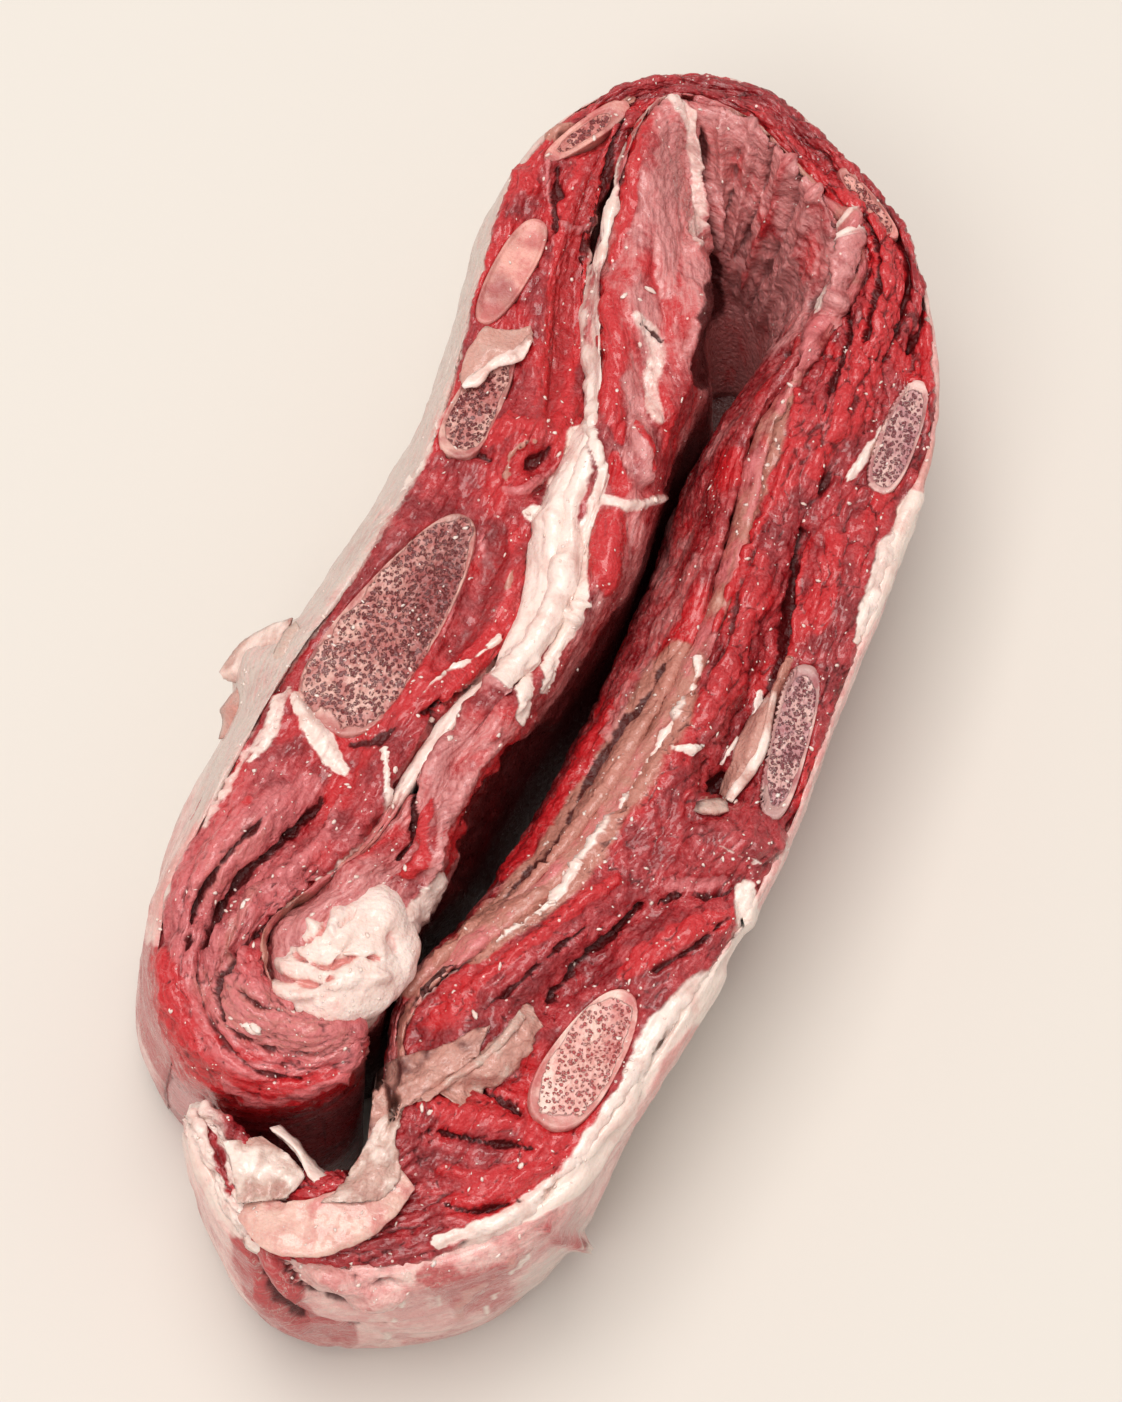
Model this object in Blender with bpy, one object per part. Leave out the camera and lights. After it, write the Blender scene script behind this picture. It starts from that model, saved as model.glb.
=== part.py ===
"""Raw beef short ribs: one long cross-cut strip, stood on its sawn edge and bent into a hairpin.

The strip has a rib layer with bones outside, a sheet of seam fat, and a muscle layer inside.
Its ends lie at -Y, where the left end overlooks the right one. Sizes are millimetres until
the meshes are made. The origin is at the middle of the underside, and +Z is up.
"""
import math
from collections import namedtuple

import bmesh
import bpy
import numpy as np

MM = 0.001
GAP = 0.3                 # clearance between touching pieces
RINGS = 82                # sections along the strip
HEIGHT = 80.0             # reference height of the sawn top face
CENTRE = (-4.5, -0.7)     # middle of the underside in the plan of the sections

# Lean: how far each wall's foot stands towards -X of its top edge, as (section number, value)
OUTER_LEAN = ((0, 8), (3, 10), (5, 11), (9, 8), (13, 8), (16, 13), (22.6, 13), (25.4, 1), (28, 0))
SEAM_LEAN = ((0, 8), (22.6, 8), (25.4, 1), (28, 0))
INNER_LEAN = 2.0

# One section across the strip: its outer edge, its seam and its inner edge in plan, then the
# heights of the top face at the outer edge, on both sides of the seam and at the inner edge.
Section = namedtuple("Section", "outer seam inner tops")
SECTIONS = (
    Section((-9, -104), (-16, -98), (-10, -97), (78, 84, 80, 78)),
    Section((-20, -117), (-28, -101), (-13, -103), (76, 87, 82, 78)),
    Section((-39, -121), (-37, -96), (-12, -95), (74, 88, 82, 78)),
    Section((-58, -109), (-41, -85), (-12, -83), (76, 87, 83, 79)),
    Section((-66, -86), (-34, -73), (-10.5, -68), (79, 85, 84, 81)),
    Section((-64, -58), (-26, -59), (-6, -52), (81, 83, 84, 82)),
    Section((-59, -26), (-20, -32), (-3, -30), (80, 82, 84, 83)),
    Section((-51, 6), (-9, 0), (3, -2), (80, 82, 85, 84)),
    Section((-46, 30), (-12, 28), (10, 25), (79, 80, 87, 84)),
    Section((-46, 54), (-11, 55), (9, 54), (78, 79, 88, 84)),
    Section((-48, 82), (-21, 90), (10, 80), (78, 79, 88, 82)),
    Section((-49, 110), (-24, 120), (4, 99), (78, 80, 88, 76)),
    Section((-40, 134), (-22, 137), (1, 110), (77, 80, 87, 66)),
    Section((-19, 153), (-14, 143), (2, 117), (75, 79, 85, 58)),
    Section((4, 155), (2, 142), (10, 120), (74, 78, 83, 54)),
    Section((26, 143), (20, 131), (20, 115), (76, 79, 83, 54)),
    Section((46, 127), (37, 117), (24, 106), (79, 81, 84, 54)),
    Section((60, 102), (36, 97), (21, 92), (80, 82, 82, 52)),
    Section((68, 74), (29, 68), (14, 64), (80, 81, 79, 50)),
    Section((68, 44), (31, 38), (12.5, 33), (80, 81, 78, 50)),
    Section((66, 10), (31, 8), (10.5, 3), (80, 81, 78, 50)),
    Section((64, -28), (25, -27), (6, -26), (80, 81, 78, 50)),
    Section((58, -64), (14, -58), (0.5, -54), (80, 81, 78, 52)),
    Section((50, -97), (2, -76), (-6, -72), (78, 80, 76, 56)),
    Section((40, -127), (-6, -94), (-9.5, -90), (75, 77, 72, 62)),
    Section((19, -146), (-1, -113), (-7, -108), (73, 76, 66, 62)),
    Section((-7, -155), (-8, -129), (-12, -120), (72, 75, 68, 66)),
    Section((-26, -151), (-20, -132), (-16, -126), (71, 74, 70, 68)),
    Section((-48, -130), (-42, -124), (-30, -124), (70, 72, 70, 68)),
)
LAST = len(SECTIONS) - 1
FAT_START = 2.6           # section number where the membrane begins
MUSCLE_START = 1.35       # section numbers between which the muscle layer runs
MUSCLE_END = 24.9

# Values along the strip, as (section number, millimetres)
OUTER_BULGE = ((0, 1), (2.6, 1), (4, 4), (6, 7), (7.5, 9), (9, 5), (12, 2), (22, 2), (25, 4), (28, 3))
OUTER_TUCK = ((0, -10), (0.8, -9), (1.7, -6), (2.4, 0), (25, 0), (26.4, -1), (28, 0))
SEAM_FOOT = ((24.8, 0), (25.3, 16), (26.0, 17), (26.9, 8), (27.5, 4), (28, 1))
FAT_THICK = ((2.4, 0.7), (4, 1.7), (7, 2.4), (9, 1.8), (14, 2.2), (18, 2.0), (18.8, 4.5), (19.6, 2.2),
             (21.6, 2.2), (22.4, 5.5), (23, 5.5), (24, 7.5), (26, 5), (28, 3))
SEAM_THICK = ((0, 1.6), (4, 2), (6.4, 4), (7.6, 7), (8.6, 3), (11, 2), (14, 2), (17, 3), (18.5, 4.6),
              (22, 4.6), (23.6, 3), (28, 1.6))
CROWN = ((0, 5.0), (3.4, 5.0), (5, 1.8))      # how far the middle of a cut face stands up
MUSCLE_FOOT = ((0, -1), (4, -1), (5, 1), (7, 2), (8.2, -1), (9, 0.5), (10, 3.5), (11, 7), (12, 10), (13, 14),
               (15, 14), (16.4, 7), (17.4, 3), (19, 1.5), (20, 3), (21, 4), (22, 2.5), (23, 0.5), (25, 0))

# Round edges of the strip's ends: fraction of the layer left at the very tip
TIP_LENGTH = 10.0
TIP_WIDTH = 0.34
TIP_HEIGHT = 0.93

# Membrane pocket on the outside of the left arm: section number, height, reach and half sizes
POCKET_AT = (6.15, 60.0)
POCKET_REACH = 9.0
POCKET_SPAN = (0.30, 13.0)

# Long forms of the cut face: a segment in plan, half width and height (below zero is a groove)
Form = namedtuple("Form", "x1 y1 x2 y2 width rise")
FORMS = (
    Form(-33, 47, -26, 46, 7, 3.0),       # mound beside the third bone
    Form(-20, 41, -16, 38, 4, -4.0),      # pit with a pale rim
    Form(-22, 25, -23, -14, 4, -3.5),     # groove inside the longest bone
    Form(-20, -19, -6, -20, 6, 2.5),      # oval muscle end
    Form(-19, -33, -10, -58, 4, 3.0),     # curled edge of the left arm
    Form(-41, -62, -54, -86, 3.5, -4.0),  # grooves of the rolled end
    Form(-43, -80, -49, -104, 3.5, -3.5),
    Form(-47, -58, -62, -84, 4, 2.0),
    Form(-30, -40, -30, -66, 5, 1.5),     # ridge that leads to the fat lump
    Form(46, 42, 44, -8, 3.5, -4.0),      # long groove of the right arm
    Form(43, -19, 47, -21, 5, -7.0),      # dark pit at its end
    Form(57, 98, 55, 70, 4, -2.5),        # folds of the coarse rib muscle
    Form(48, 100, 46, 72, 4, 2.0),
    Form(46, -39, 60, -32, 7, 3.5),       # smooth red lobe
    Form(36, -57, 52, -44, 4, -3.5),      # crease below the lobe
    Form(22, -83, 31, -66, 4, -4.5),      # crevice above the lowest bone
    Form(5, -116, 30, -112, 6, 2.5),      # red muscle of the lower bend
    Form(12, -104, 24, -98, 4, -4.0),
)


def along(knots, u):
    """Value at section numbers u of a list of (section number, value), eased between knots."""
    places = np.array([k[0] for k in knots], float)
    values = np.array([k[1] for k in knots], float)
    i = np.clip(np.searchsorted(places, u, side="right") - 1, 0, len(places) - 2)
    f = np.clip((u - places[i]) / (places[i + 1] - places[i]), 0.0, 1.0)
    f = f * f * (3.0 - 2.0 * f)
    return values[i] * (1.0 - f) + values[i + 1] * f


def spline(rows, u):
    """Smooth curve through equally numbered rows (Catmull-Rom), at section numbers u."""
    rows = np.asarray(rows, float)
    padded = np.vstack([2 * rows[0] - rows[1], rows, 2 * rows[-1] - rows[-2]])
    i = np.clip(np.floor(u).astype(int), 0, len(rows) - 2)
    f = (u - i)[:, None]
    a, b, c, d = padded[i], padded[i + 1], padded[i + 2], padded[i + 3]
    return b + 0.5 * f * (c - a + f * (2 * a - 5 * b + 4 * c - d + f * (3 * (b - c) + d - a)))


def unit(vectors):
    """Rows scaled to length one."""
    return vectors / np.linalg.norm(vectors, axis=1, keepdims=True)


def relief(x, y):
    """Height that the long forms add to the cut face at plan points."""
    rise = np.zeros_like(x)
    for form in FORMS:
        dx, dy = form.x2 - form.x1, form.y2 - form.y1
        f = np.clip(((x - form.x1) * dx + (y - form.y1) * dy) / (dx * dx + dy * dy), 0.0, 1.0)
        away = (x - form.x1 - f * dx) ** 2 + (y - form.y1 - f * dy) ** 2
        rise += form.rise * np.exp(-away / form.width ** 2)
    return rise


def rolls(u, t, phase):
    """Low rolls of the cut muscle, which wander along the strip."""
    wander = 0.9 * np.sin(0.83 * u + phase) + 0.5 * np.sin(1.91 * u + 2.0 * phase)
    low = 1.4 * np.sin(2 * math.pi * 1.6 * t + wander)
    return low + 0.8 * np.sin(2.6 * u + 5.0 * t + phase) + 0.6 * np.sin(4.7 * u - 3.0 * t)


def sag(u, z):
    """Shallow waves of the soft outer side."""
    return 0.8 * np.sin(2.1 * u + z / 17.0) + 0.5 * np.sin(3.7 * u - z / 11.0)


def tip(run, least):
    """Share of a size that is left near the two rounded ends of a stretch; least at the very tips."""
    near = np.minimum(run - run[0], run[-1] - run)
    f = np.clip(near / TIP_LENGTH, 0, 1)
    return least + (1 - least) * np.sqrt(1 - (1 - f) ** 2)


class Strip:
    """The bent strip's curves, sampled at sections an even distance apart."""

    def __init__(self, rings):
        dense = np.linspace(0, LAST, 2400)
        middle = spline([s.seam for s in SECTIONS], dense) * 0.5
        middle += spline([s.outer for s in SECTIONS], dense) * 0.5
        steps = np.linalg.norm(np.diff(middle, axis=0), axis=1)
        run = np.concatenate([[0], np.cumsum(steps)])
        u = np.interp(np.linspace(0, run[-1], rings), run, dense)
        self.u = u
        self.run = np.interp(u, dense, run)
        outer = spline([s.outer for s in SECTIONS], u)
        seam = spline([s.seam for s in SECTIONS], u)
        self.inner = spline([s.inner for s in SECTIONS], u)
        self.left = tip(self.run, TIP_WIDTH)
        middle = (outer + seam) / 2
        self.outer = middle + (outer - middle) * self.left[:, None]
        self.seam = middle + (seam - middle) * self.left[:, None]
        self.tops = spline([s.tops for s in SECTIONS], u) * tip(self.run, TIP_HEIGHT)[:, None]
        self.rib_way = unit(self.seam - self.outer)
        self.muscle_way = unit(self.inner - self.seam)

    def part(self, first, last):
        """The stretch between two section numbers, as a strip of its own."""
        keep = (self.u > first) & (self.u < last)
        piece = Strip.__new__(Strip)
        for name, values in vars(self).items():
            setattr(piece, name, values[keep])
        return piece

    def outer_wall(self, depth, z):
        """Plan points of the wall that lies depth inside the outer face, at height z."""
        h = np.clip(z / self.tops[:, 0], 0, 1)
        bulge = along(OUTER_BULGE, self.u) * np.sin(math.pi * h) ** 0.8
        tuck = along(OUTER_TUCK, self.u) * (1 - h) ** 2
        inward = depth + (tuck - bulge - sag(self.u, z) * np.sin(math.pi * h)) * self.left
        points = self.outer + self.rib_way * inward[:, None]
        seam_lean = along(SEAM_LEAN, self.u)
        lean = seam_lean + (along(OUTER_LEAN, self.u) - seam_lean) * self.left
        points[:, 0] += lean * (z / HEIGHT - 1)
        return points

    def seam_wall(self, shift, z):
        """Plan points beside the seam at height z; shift is along the way to the inner edge."""
        h = np.clip(z / self.tops[:, 1], 0, 1)
        way = np.where((shift < 0)[:, None], self.rib_way, self.muscle_way)
        points = self.seam + way * shift[:, None]
        points = points + self.rib_way * (along(SEAM_FOOT, self.u) * (1 - h))[:, None]
        points[:, 0] += along(SEAM_LEAN, self.u) * (z / HEIGHT - 1)
        return points

    def inner_wall(self, z):
        """Plan points of the wall that faces the slot, at height z."""
        h = np.clip(z / self.tops[:, 3], 0, 1)
        points = self.inner + self.muscle_way * (along(MUSCLE_FOOT, self.u) * (1 - h))[:, None]
        points[:, 0] += INNER_LEAN * (z / HEIGHT - 1)
        return points


def loft(name, rings, material, thin=False):
    """One closed body from rings of points (rings x points x 3); a thin one has plain end faces."""
    mesh = bmesh.new()
    verts = [[mesh.verts.new(p * MM) for p in ring] for ring in rings]
    count = len(verts[0])
    for near, far in zip(verts[:-1], verts[1:]):
        for i in range(count):
            j = (i + 1) % count
            mesh.faces.new((near[i], near[j], far[j], far[i]))
    for ring, points in ((verts[0], rings[0]), (verts[-1], rings[-1])):
        if thin:
            mesh.faces.new(ring)
            continue
        middle = mesh.verts.new(points.mean(axis=0) * MM)
        for i in range(count):
            mesh.faces.new((ring[i], ring[(i + 1) % count], middle))
    bmesh.ops.recalc_face_normals(mesh, faces=mesh.faces)
    return new_object(name, mesh, material)


def new_object(name, mesh, material):
    """Link a bmesh as an object with its material, and shade it smooth."""
    bmesh.ops.triangulate(mesh, faces=mesh.faces)
    bmesh.ops.translate(mesh, verts=mesh.verts, vec=(-CENTRE[0] * MM, -CENTRE[1] * MM, 0))
    data = bpy.data.meshes.new(name)
    mesh.to_mesh(data)
    mesh.free()
    data.shade_smooth()
    item = bpy.data.objects.new(name, data)
    if material is not None:
        data.materials.append(material)
    bpy.context.scene.collection.objects.link(item)
    return item


def layer_rings(strip, outline, left, right, tops, phase=None, width=1.0):
    """Rings of a layer: outline holds (across, up) pairs, left and right give its two walls."""
    rings = []
    for across, up in outline:
        top = tops[:, 0] * (1 - across) + tops[:, 1] * across
        z = up * top
        f = (across * width * np.ones_like(top))[:, None]
        points = left(z) * (1 - f) + right(z) * f
        if up == 1.0 and phase is not None:
            crown = along(CROWN, strip.u) * 4 * across * (1 - across)
            z = z + crown + rolls(strip.u, across, phase) + relief(points[:, 0], points[:, 1])
        rings.append(np.column_stack([points, z]))
    return np.stack(rings, axis=1)


def face_across(count, margin):
    """Evenly spaced places across a layer's face, a margin in from both walls."""
    return [margin + (1 - 2 * margin) * i / (count - 1) for i in range(count)]


WALL_STOPS = (0.05, 0.22, 0.42, 0.62, 0.80, 0.93)


def build_rib_muscle(strip, material):
    """Outer muscle layer, which holds the bones."""
    fat = along(FAT_THICK, strip.u) * strip.left + GAP
    seam = -along(SEAM_THICK, strip.u) / 2 - GAP
    outline = [(0.10, 0.0)] + [(0.0, h) for h in WALL_STOPS]
    outline += [(t, 1.0) for t in face_across(7, 0.07)]
    outline += [(1.0, 0.95), (1.0, 0.45), (1.0, 0.04), (0.92, 0.0), (0.5, 0.0)]
    rings = layer_rings(strip, outline, lambda z: strip.outer_wall(fat, z),
                        lambda z: strip.seam_wall(seam, z), strip.tops[:, :2], phase=0.4)
    return loft("rib_muscle", rings, material)


def build_inner_muscle(strip, material):
    """Inner muscle layer, whose wall lines the slot."""
    strip = strip.part(MUSCLE_START, MUSCLE_END)
    seam = along(SEAM_THICK, strip.u) / 2 + GAP
    outline = [(0.5, 0.0), (0.08, 0.0), (0.0, 0.04), (0.0, 0.5), (0.0, 0.96)]
    outline += [(t, 1.0) for t in face_across(6, 0.06)]
    outline += [(1.0, h) for h in reversed(WALL_STOPS)] + [(0.92, 0.0)]
    width = tip(strip.run, TIP_WIDTH)
    rings = layer_rings(strip, outline, lambda z: strip.seam_wall(seam, z), strip.inner_wall,
                        strip.tops[:, 2:], phase=2.1, width=width)
    return loft("inner_muscle", rings, material)


def build_seam_fat(strip, material):
    """Sheet of fat between the two muscle layers, seen at the cut as a pale line or a step."""
    strip = strip.part(MUSCLE_START, MUSCLE_END)
    half = along(SEAM_THICK, strip.u) / 2
    tops = strip.tops[:, 1:3] + np.array([1.2, 0.6])
    outline = [(0.5, 0.025), (0.0, 0.03), (0.0, 0.5), (0.0, 0.99), (0.3, 1.0)]
    outline += [(0.7, 1.0), (1.0, 0.99), (1.0, 0.5), (1.0, 0.03)]
    rings = layer_rings(strip, outline, lambda z: strip.seam_wall(-half, z),
                        lambda z: strip.seam_wall(half, z), tops)
    return loft("seam_fat", rings, material)


def build_outer_fat(strip, material):
    """Membrane and fat that cover the outside of the strip, with the pocket on the left."""
    strip = strip.part(FAT_START, LAST + 1)
    fat = along(FAT_THICK, strip.u) * strip.left
    beside = np.exp(-((strip.u - POCKET_AT[0]) / POCKET_SPAN[0]) ** 2)

    def face(z):
        reach = POCKET_REACH * beside * np.exp(-((z - POCKET_AT[1]) / POCKET_SPAN[1]) ** 2)
        return strip.outer_wall(-reach, z)

    outline = [(1.0, WALL_STOPS[0]), (0.4, 0.03), (0.0, 0.08)] + [(0.0, h) for h in WALL_STOPS[1:-1]]
    outline += [(0.06, 0.93), (0.35, 0.99), (0.75, 1.0)] + [(1.0, h) for h in reversed(WALL_STOPS[1:])]
    tops = np.column_stack([strip.tops[:, 0], strip.tops[:, 0]])
    rings = layer_rings(strip, outline, face, lambda z: strip.outer_wall(fat, z), tops)
    return loft("outer_fat", rings, material, thin=True)


# A bone: middle of its sawn end in plan, length, width, turn in degrees, top height, how much
# wider (+) or narrower (-) its far end is than its near end, how square its outline is, and lean
Bone = namedtuple("Bone", "x y length width turn top taper square lean")
BONES = (
    Bone(-35.0, 127.5, 26, 6.5, 56, 79.5, 0.15, 2.4, 8.0),
    Bone(-40.5, 86, 31, 9.5, 81, 80.5, 0.10, 2.4, 8.0),
    Bone(-37.0, 52, 32, 11.5, 84, 80.5, -0.20, 2.6, 8.5),
    Bone(-38.0, -7, 62, 22.0, 76, 82.0, -0.35, 2.6, 10.5),
    Bone(35.0, 129.5, 23, 4.6, -37, 80.5, 0.0, 2.4, 11.0),
    Bone(59.0, 73, 31, 9.0, 87, 81.5, -0.10, 2.6, 12.5),
    Bone(56.5, -7, 39, 9.0, 94, 81.5, 0.10, 2.8, 12.5),
    Bone(35.5, -91, 36, 15.5, 76, 80.0, -0.18, 2.4, 10.0),
)
BONE_SIDES = 16
BONE_STOPS = (0.0, 0.01, 0.99, 1.0)
SOCKET_STOPS = (0.0, 1.0)
BONE_ROUND = 0.5
BONE_FOOT_SCALE = 0.92    # the sawn lower end is a little smaller than the upper one


def bone_rings(bone, low, high, stops, swell):
    """Rings of a bone or of its socket, at stops from one height to another."""
    turn = math.radians(bone.turn)
    rings = []
    for stop in stops:
        z = low + (high - low) * stop
        scale = BONE_FOOT_SCALE + (1 - BONE_FOOT_SCALE) * z / bone.top
        inset = BONE_ROUND if swell == 0 and stop in (0.0, 1.0) else 0.0
        ring = []
        for i in range(BONE_SIDES):
            angle = 2 * math.pi * i / BONE_SIDES
            c, s = math.cos(angle), math.sin(angle)
            radius = (abs(c) ** bone.square + abs(s) ** bone.square) ** (-1 / bone.square)
            along_bone = (bone.length / 2 * scale + swell - inset) * radius * c
            across = (bone.width / 2 * scale * (1 + bone.taper * c) + swell - inset) * radius * s
            x = bone.x + along_bone * math.cos(turn) - across * math.sin(turn)
            y = bone.y + along_bone * math.sin(turn) + across * math.cos(turn)
            ring.append((x + bone.lean * (z / HEIGHT - 1), y, z))
        rings.append(np.array(ring))
    return rings


def build_bones(material, sockets):
    """The sawn rib bones, and the sockets that they leave in the muscle."""
    for number, bone in enumerate(BONES, start=1):
        loft(f"rib_bone_{number}", bone_rings(bone, 0.0, bone.top, BONE_STOPS, 0.0), material)
        socket = loft(f"socket_{number}", bone_rings(bone, -6.0, bone.top + 14.0, SOCKET_STOPS, GAP), None)
        hide_cutter(socket, sockets)


def hide_cutter(item, collection):
    """Keep a cutter out of the model, in the collection that a Boolean reads."""
    item.hide_render = True
    item.display_type = "WIRE"
    bpy.context.scene.collection.objects.unlink(item)
    collection.objects.link(item)


# Fat lump at the rolled end: middle, half sizes, turn, and its lobes as (angle, rise, swell)
LUMP_AT = (-22.0, -88.0, 78.0)
LUMP_HALF = (12.5, 18.0, 13.5)
LUMP_TURN = -18.0
LUMP_LOBES = ((0.4, 0.3, 0.16), (1.9, 0.5, 0.14), (3.5, 0.4, 0.12), (5.0, 0.3, 0.16))
LUMP_SIDES = 26
LUMP_BANDS = 14


def lump_rings(swell):
    """Rings of the lobed fat lump, from its lower tip to its upper one."""
    turn = math.radians(LUMP_TURN)
    rings = []
    for band in range(1, LUMP_BANDS):
        tilt = math.pi * (band / LUMP_BANDS - 0.5)
        ring = []
        for i in range(LUMP_SIDES):
            angle = 2 * math.pi * i / LUMP_SIDES
            radius = 1.0
            for place, rise, lobe in LUMP_LOBES:
                turned = math.cos(angle - place)
                radius += lobe * math.exp(-((1 - turned) * 3.0 + (math.sin(tilt) - rise) ** 2 * 4.0))
            radius += 0.03 * math.sin(3 * angle + 5 * tilt)
            x = (LUMP_HALF[0] * radius + swell) * math.cos(tilt) * math.cos(angle)
            y = (LUMP_HALF[1] * radius + swell) * math.cos(tilt) * math.sin(angle)
            z = (LUMP_HALF[2] * radius + swell) * math.sin(tilt)
            ring.append((LUMP_AT[0] + x * math.cos(turn) - y * math.sin(turn),
                         LUMP_AT[1] + x * math.sin(turn) + y * math.cos(turn), LUMP_AT[2] + z))
        rings.append(np.array(ring))
    return rings


# Flap of fat on the lower bend: the route of its middle, and its half width and half thickness
FLAP_ROUTE = ((-25, -143.5, 73.5), (-17, -147, 76), (-8, -144, 77), (0, -137, 77), (6, -128, 76.5))
FLAP_HALF_WIDTH = 6.5
FLAP_HALF_THICK = 2.6
FLAP_RINGS = 12
FLAP_SIDES = 14


def flap_rings(swell):
    """Rings of the tongue-shaped flap."""
    places = np.linspace(0, len(FLAP_ROUTE) - 1, FLAP_RINGS)
    route = spline(FLAP_ROUTE, places)
    ways = unit(np.gradient(route, axis=0))
    rings = []
    for i, (middle, way) in enumerate(zip(route, ways)):
        f = i / (FLAP_RINGS - 1)
        size = 0.35 + 0.65 * math.sin(math.pi * min(max(0.06 + 0.90 * f, 0), 1)) ** 0.6
        side = np.array([-way[1], way[0], 0.0])
        side /= np.linalg.norm(side)
        lift = np.cross(way, side)
        ring = []
        for k in range(FLAP_SIDES):
            angle = 2 * math.pi * k / FLAP_SIDES
            wide = (FLAP_HALF_WIDTH * size + swell) * math.cos(angle)
            thick = (FLAP_HALF_THICK * size + swell) * math.sin(angle)
            curl = 1.6 * (wide / FLAP_HALF_WIDTH) ** 2
            ring.append(middle + side * wide + lift * (thick + curl))
        rings.append(np.array(ring))
    if swell > 0:
        rings[0] = rings[0] - ways[0] * swell
        rings[-1] = rings[-1] + ways[-1] * swell
    return rings


def cut(item, collection):
    """Cut every piece of a collection out of an object."""
    modifier = item.modifiers.new("sockets", "BOOLEAN")
    modifier.operation = "DIFFERENCE"
    modifier.operand_type = "COLLECTION"
    modifier.collection = collection
    modifier.solver = "EXACT"


def new_material(name, colour, roughness):
    """Principled material of one plain finish."""
    material = bpy.data.materials.new(name)
    material.use_nodes = True
    shader = material.node_tree.nodes["Principled BSDF"]
    shader.inputs["Base Color"].default_value = (*colour, 1.0)
    shader.inputs["Roughness"].default_value = roughness
    shader.inputs["Metallic"].default_value = 0.0
    return material


def new_collection(name):
    """A collection for cutters, linked to the scene."""
    collection = bpy.data.collections.new(name)
    bpy.context.scene.collection.children.link(collection)
    return collection


def main():
    """Model the short ribs."""
    for item in list(bpy.data.objects):
        bpy.data.objects.remove(item, do_unlink=True)
    lean_red = new_material("lean_meat", (0.40, 0.028, 0.035), 0.38)
    inner_red = new_material("inner_meat", (0.36, 0.045, 0.055), 0.36)
    white_fat = new_material("white_fat", (0.80, 0.58, 0.50), 0.42)
    cap_fat = new_material("cap_fat", (0.72, 0.45, 0.40), 0.40)
    sawn_bone = new_material("sawn_bone", (0.52, 0.24, 0.21), 0.50)

    sockets = new_collection("bone_sockets")
    lump_seat = new_collection("lump_seat")
    flap_seat = new_collection("flap_seat")
    strip = Strip(RINGS)
    rib_muscle = build_rib_muscle(strip, lean_red)
    inner_muscle = build_inner_muscle(strip, inner_red)
    seam_fat = build_seam_fat(strip, white_fat)
    outer_fat = build_outer_fat(strip, cap_fat)
    build_bones(sawn_bone, sockets)
    loft("fat_lump", lump_rings(0.0), white_fat)
    hide_cutter(loft("lump_seat", lump_rings(GAP), None), lump_seat)
    loft("fat_flap", flap_rings(0.0), white_fat)
    hide_cutter(loft("flap_seat", flap_rings(GAP), None), flap_seat)

    cut(rib_muscle, sockets)
    for item in (rib_muscle, inner_muscle, seam_fat):
        cut(item, lump_seat)
    for item in (rib_muscle, outer_fat):
        cut(item, flap_seat)


main()
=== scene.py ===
import logging
import math
from dataclasses import dataclass, field
from enum import Enum

import bmesh
import bpy
import numpy as np
from mathutils import Matrix, Vector
from mathutils.bvhtree import BVHTree


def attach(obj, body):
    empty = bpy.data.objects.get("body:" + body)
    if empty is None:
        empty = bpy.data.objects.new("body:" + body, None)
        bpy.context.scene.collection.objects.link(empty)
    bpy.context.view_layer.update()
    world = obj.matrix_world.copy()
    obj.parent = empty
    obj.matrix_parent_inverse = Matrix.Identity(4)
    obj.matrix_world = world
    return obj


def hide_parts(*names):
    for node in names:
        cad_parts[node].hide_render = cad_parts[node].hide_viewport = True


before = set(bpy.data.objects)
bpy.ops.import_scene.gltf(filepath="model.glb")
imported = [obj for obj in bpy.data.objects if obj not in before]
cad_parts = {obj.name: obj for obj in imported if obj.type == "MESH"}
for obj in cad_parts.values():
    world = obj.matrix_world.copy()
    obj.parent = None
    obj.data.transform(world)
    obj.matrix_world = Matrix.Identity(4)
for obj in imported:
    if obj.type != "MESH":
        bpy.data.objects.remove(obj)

MM = 0.001
# Middle of the footprint in the plan of the sections, which is the origin of the frame
CENTRE = np.array([-4.5, -0.7, 0.0])
# Height of the cut that the leans of the walls are given for
HEIGHT = 80.0
COARSE = 1.0
LOG = logging.getLogger("short_ribs")

Point = tuple[float, float]
Colour = tuple[float, float, float]


class Paint(Enum):
    """Kinds of tissue that a mask marks on a surface; the dark red mask also carries painted shade in
    creases, pits and the slot.
    """

    FAT = "fat"
    FILM = "film"
    # dark red of meat and marrow, also painted as shade in creases, pits and the slot
    DEEP = "deep"
    BRIGHT = "bright"
    TAN = "tan"


# Tissues that a stroke takes away where it lays its own
OVER = {Paint.BRIGHT: (Paint.FILM, Paint.TAN), Paint.FAT: (Paint.DEEP,)}


class Slot(Enum):
    """Material slots of the record."""

    LEAN = "lean_meat"
    INNER = "inner_meat"
    WHITE = "white_fat"
    CAP = "cap_fat"
    BONE = "sawn_bone"


def smooth(low: float, high: float, x: np.ndarray) -> np.ndarray:
    """Eased step from 0 at low to 1 at high."""
    f = np.clip((x - low) / (high - low), 0.0, 1.0)
    return f * f * (3.0 - 2.0 * f)


def along(knots: tuple, u: np.ndarray) -> np.ndarray:
    """Value at section numbers u of a list of (section number, value), eased between knots."""
    places = np.array([k[0] for k in knots], float)
    values = np.array([k[1] for k in knots], float)
    i = np.clip(np.searchsorted(places, u, side="right") - 1, 0, len(places) - 2)
    f = smooth(0.0, 1.0, (u - places[i]) / (places[i + 1] - places[i]))
    return values[i] * (1.0 - f) + values[i + 1] * f


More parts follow.
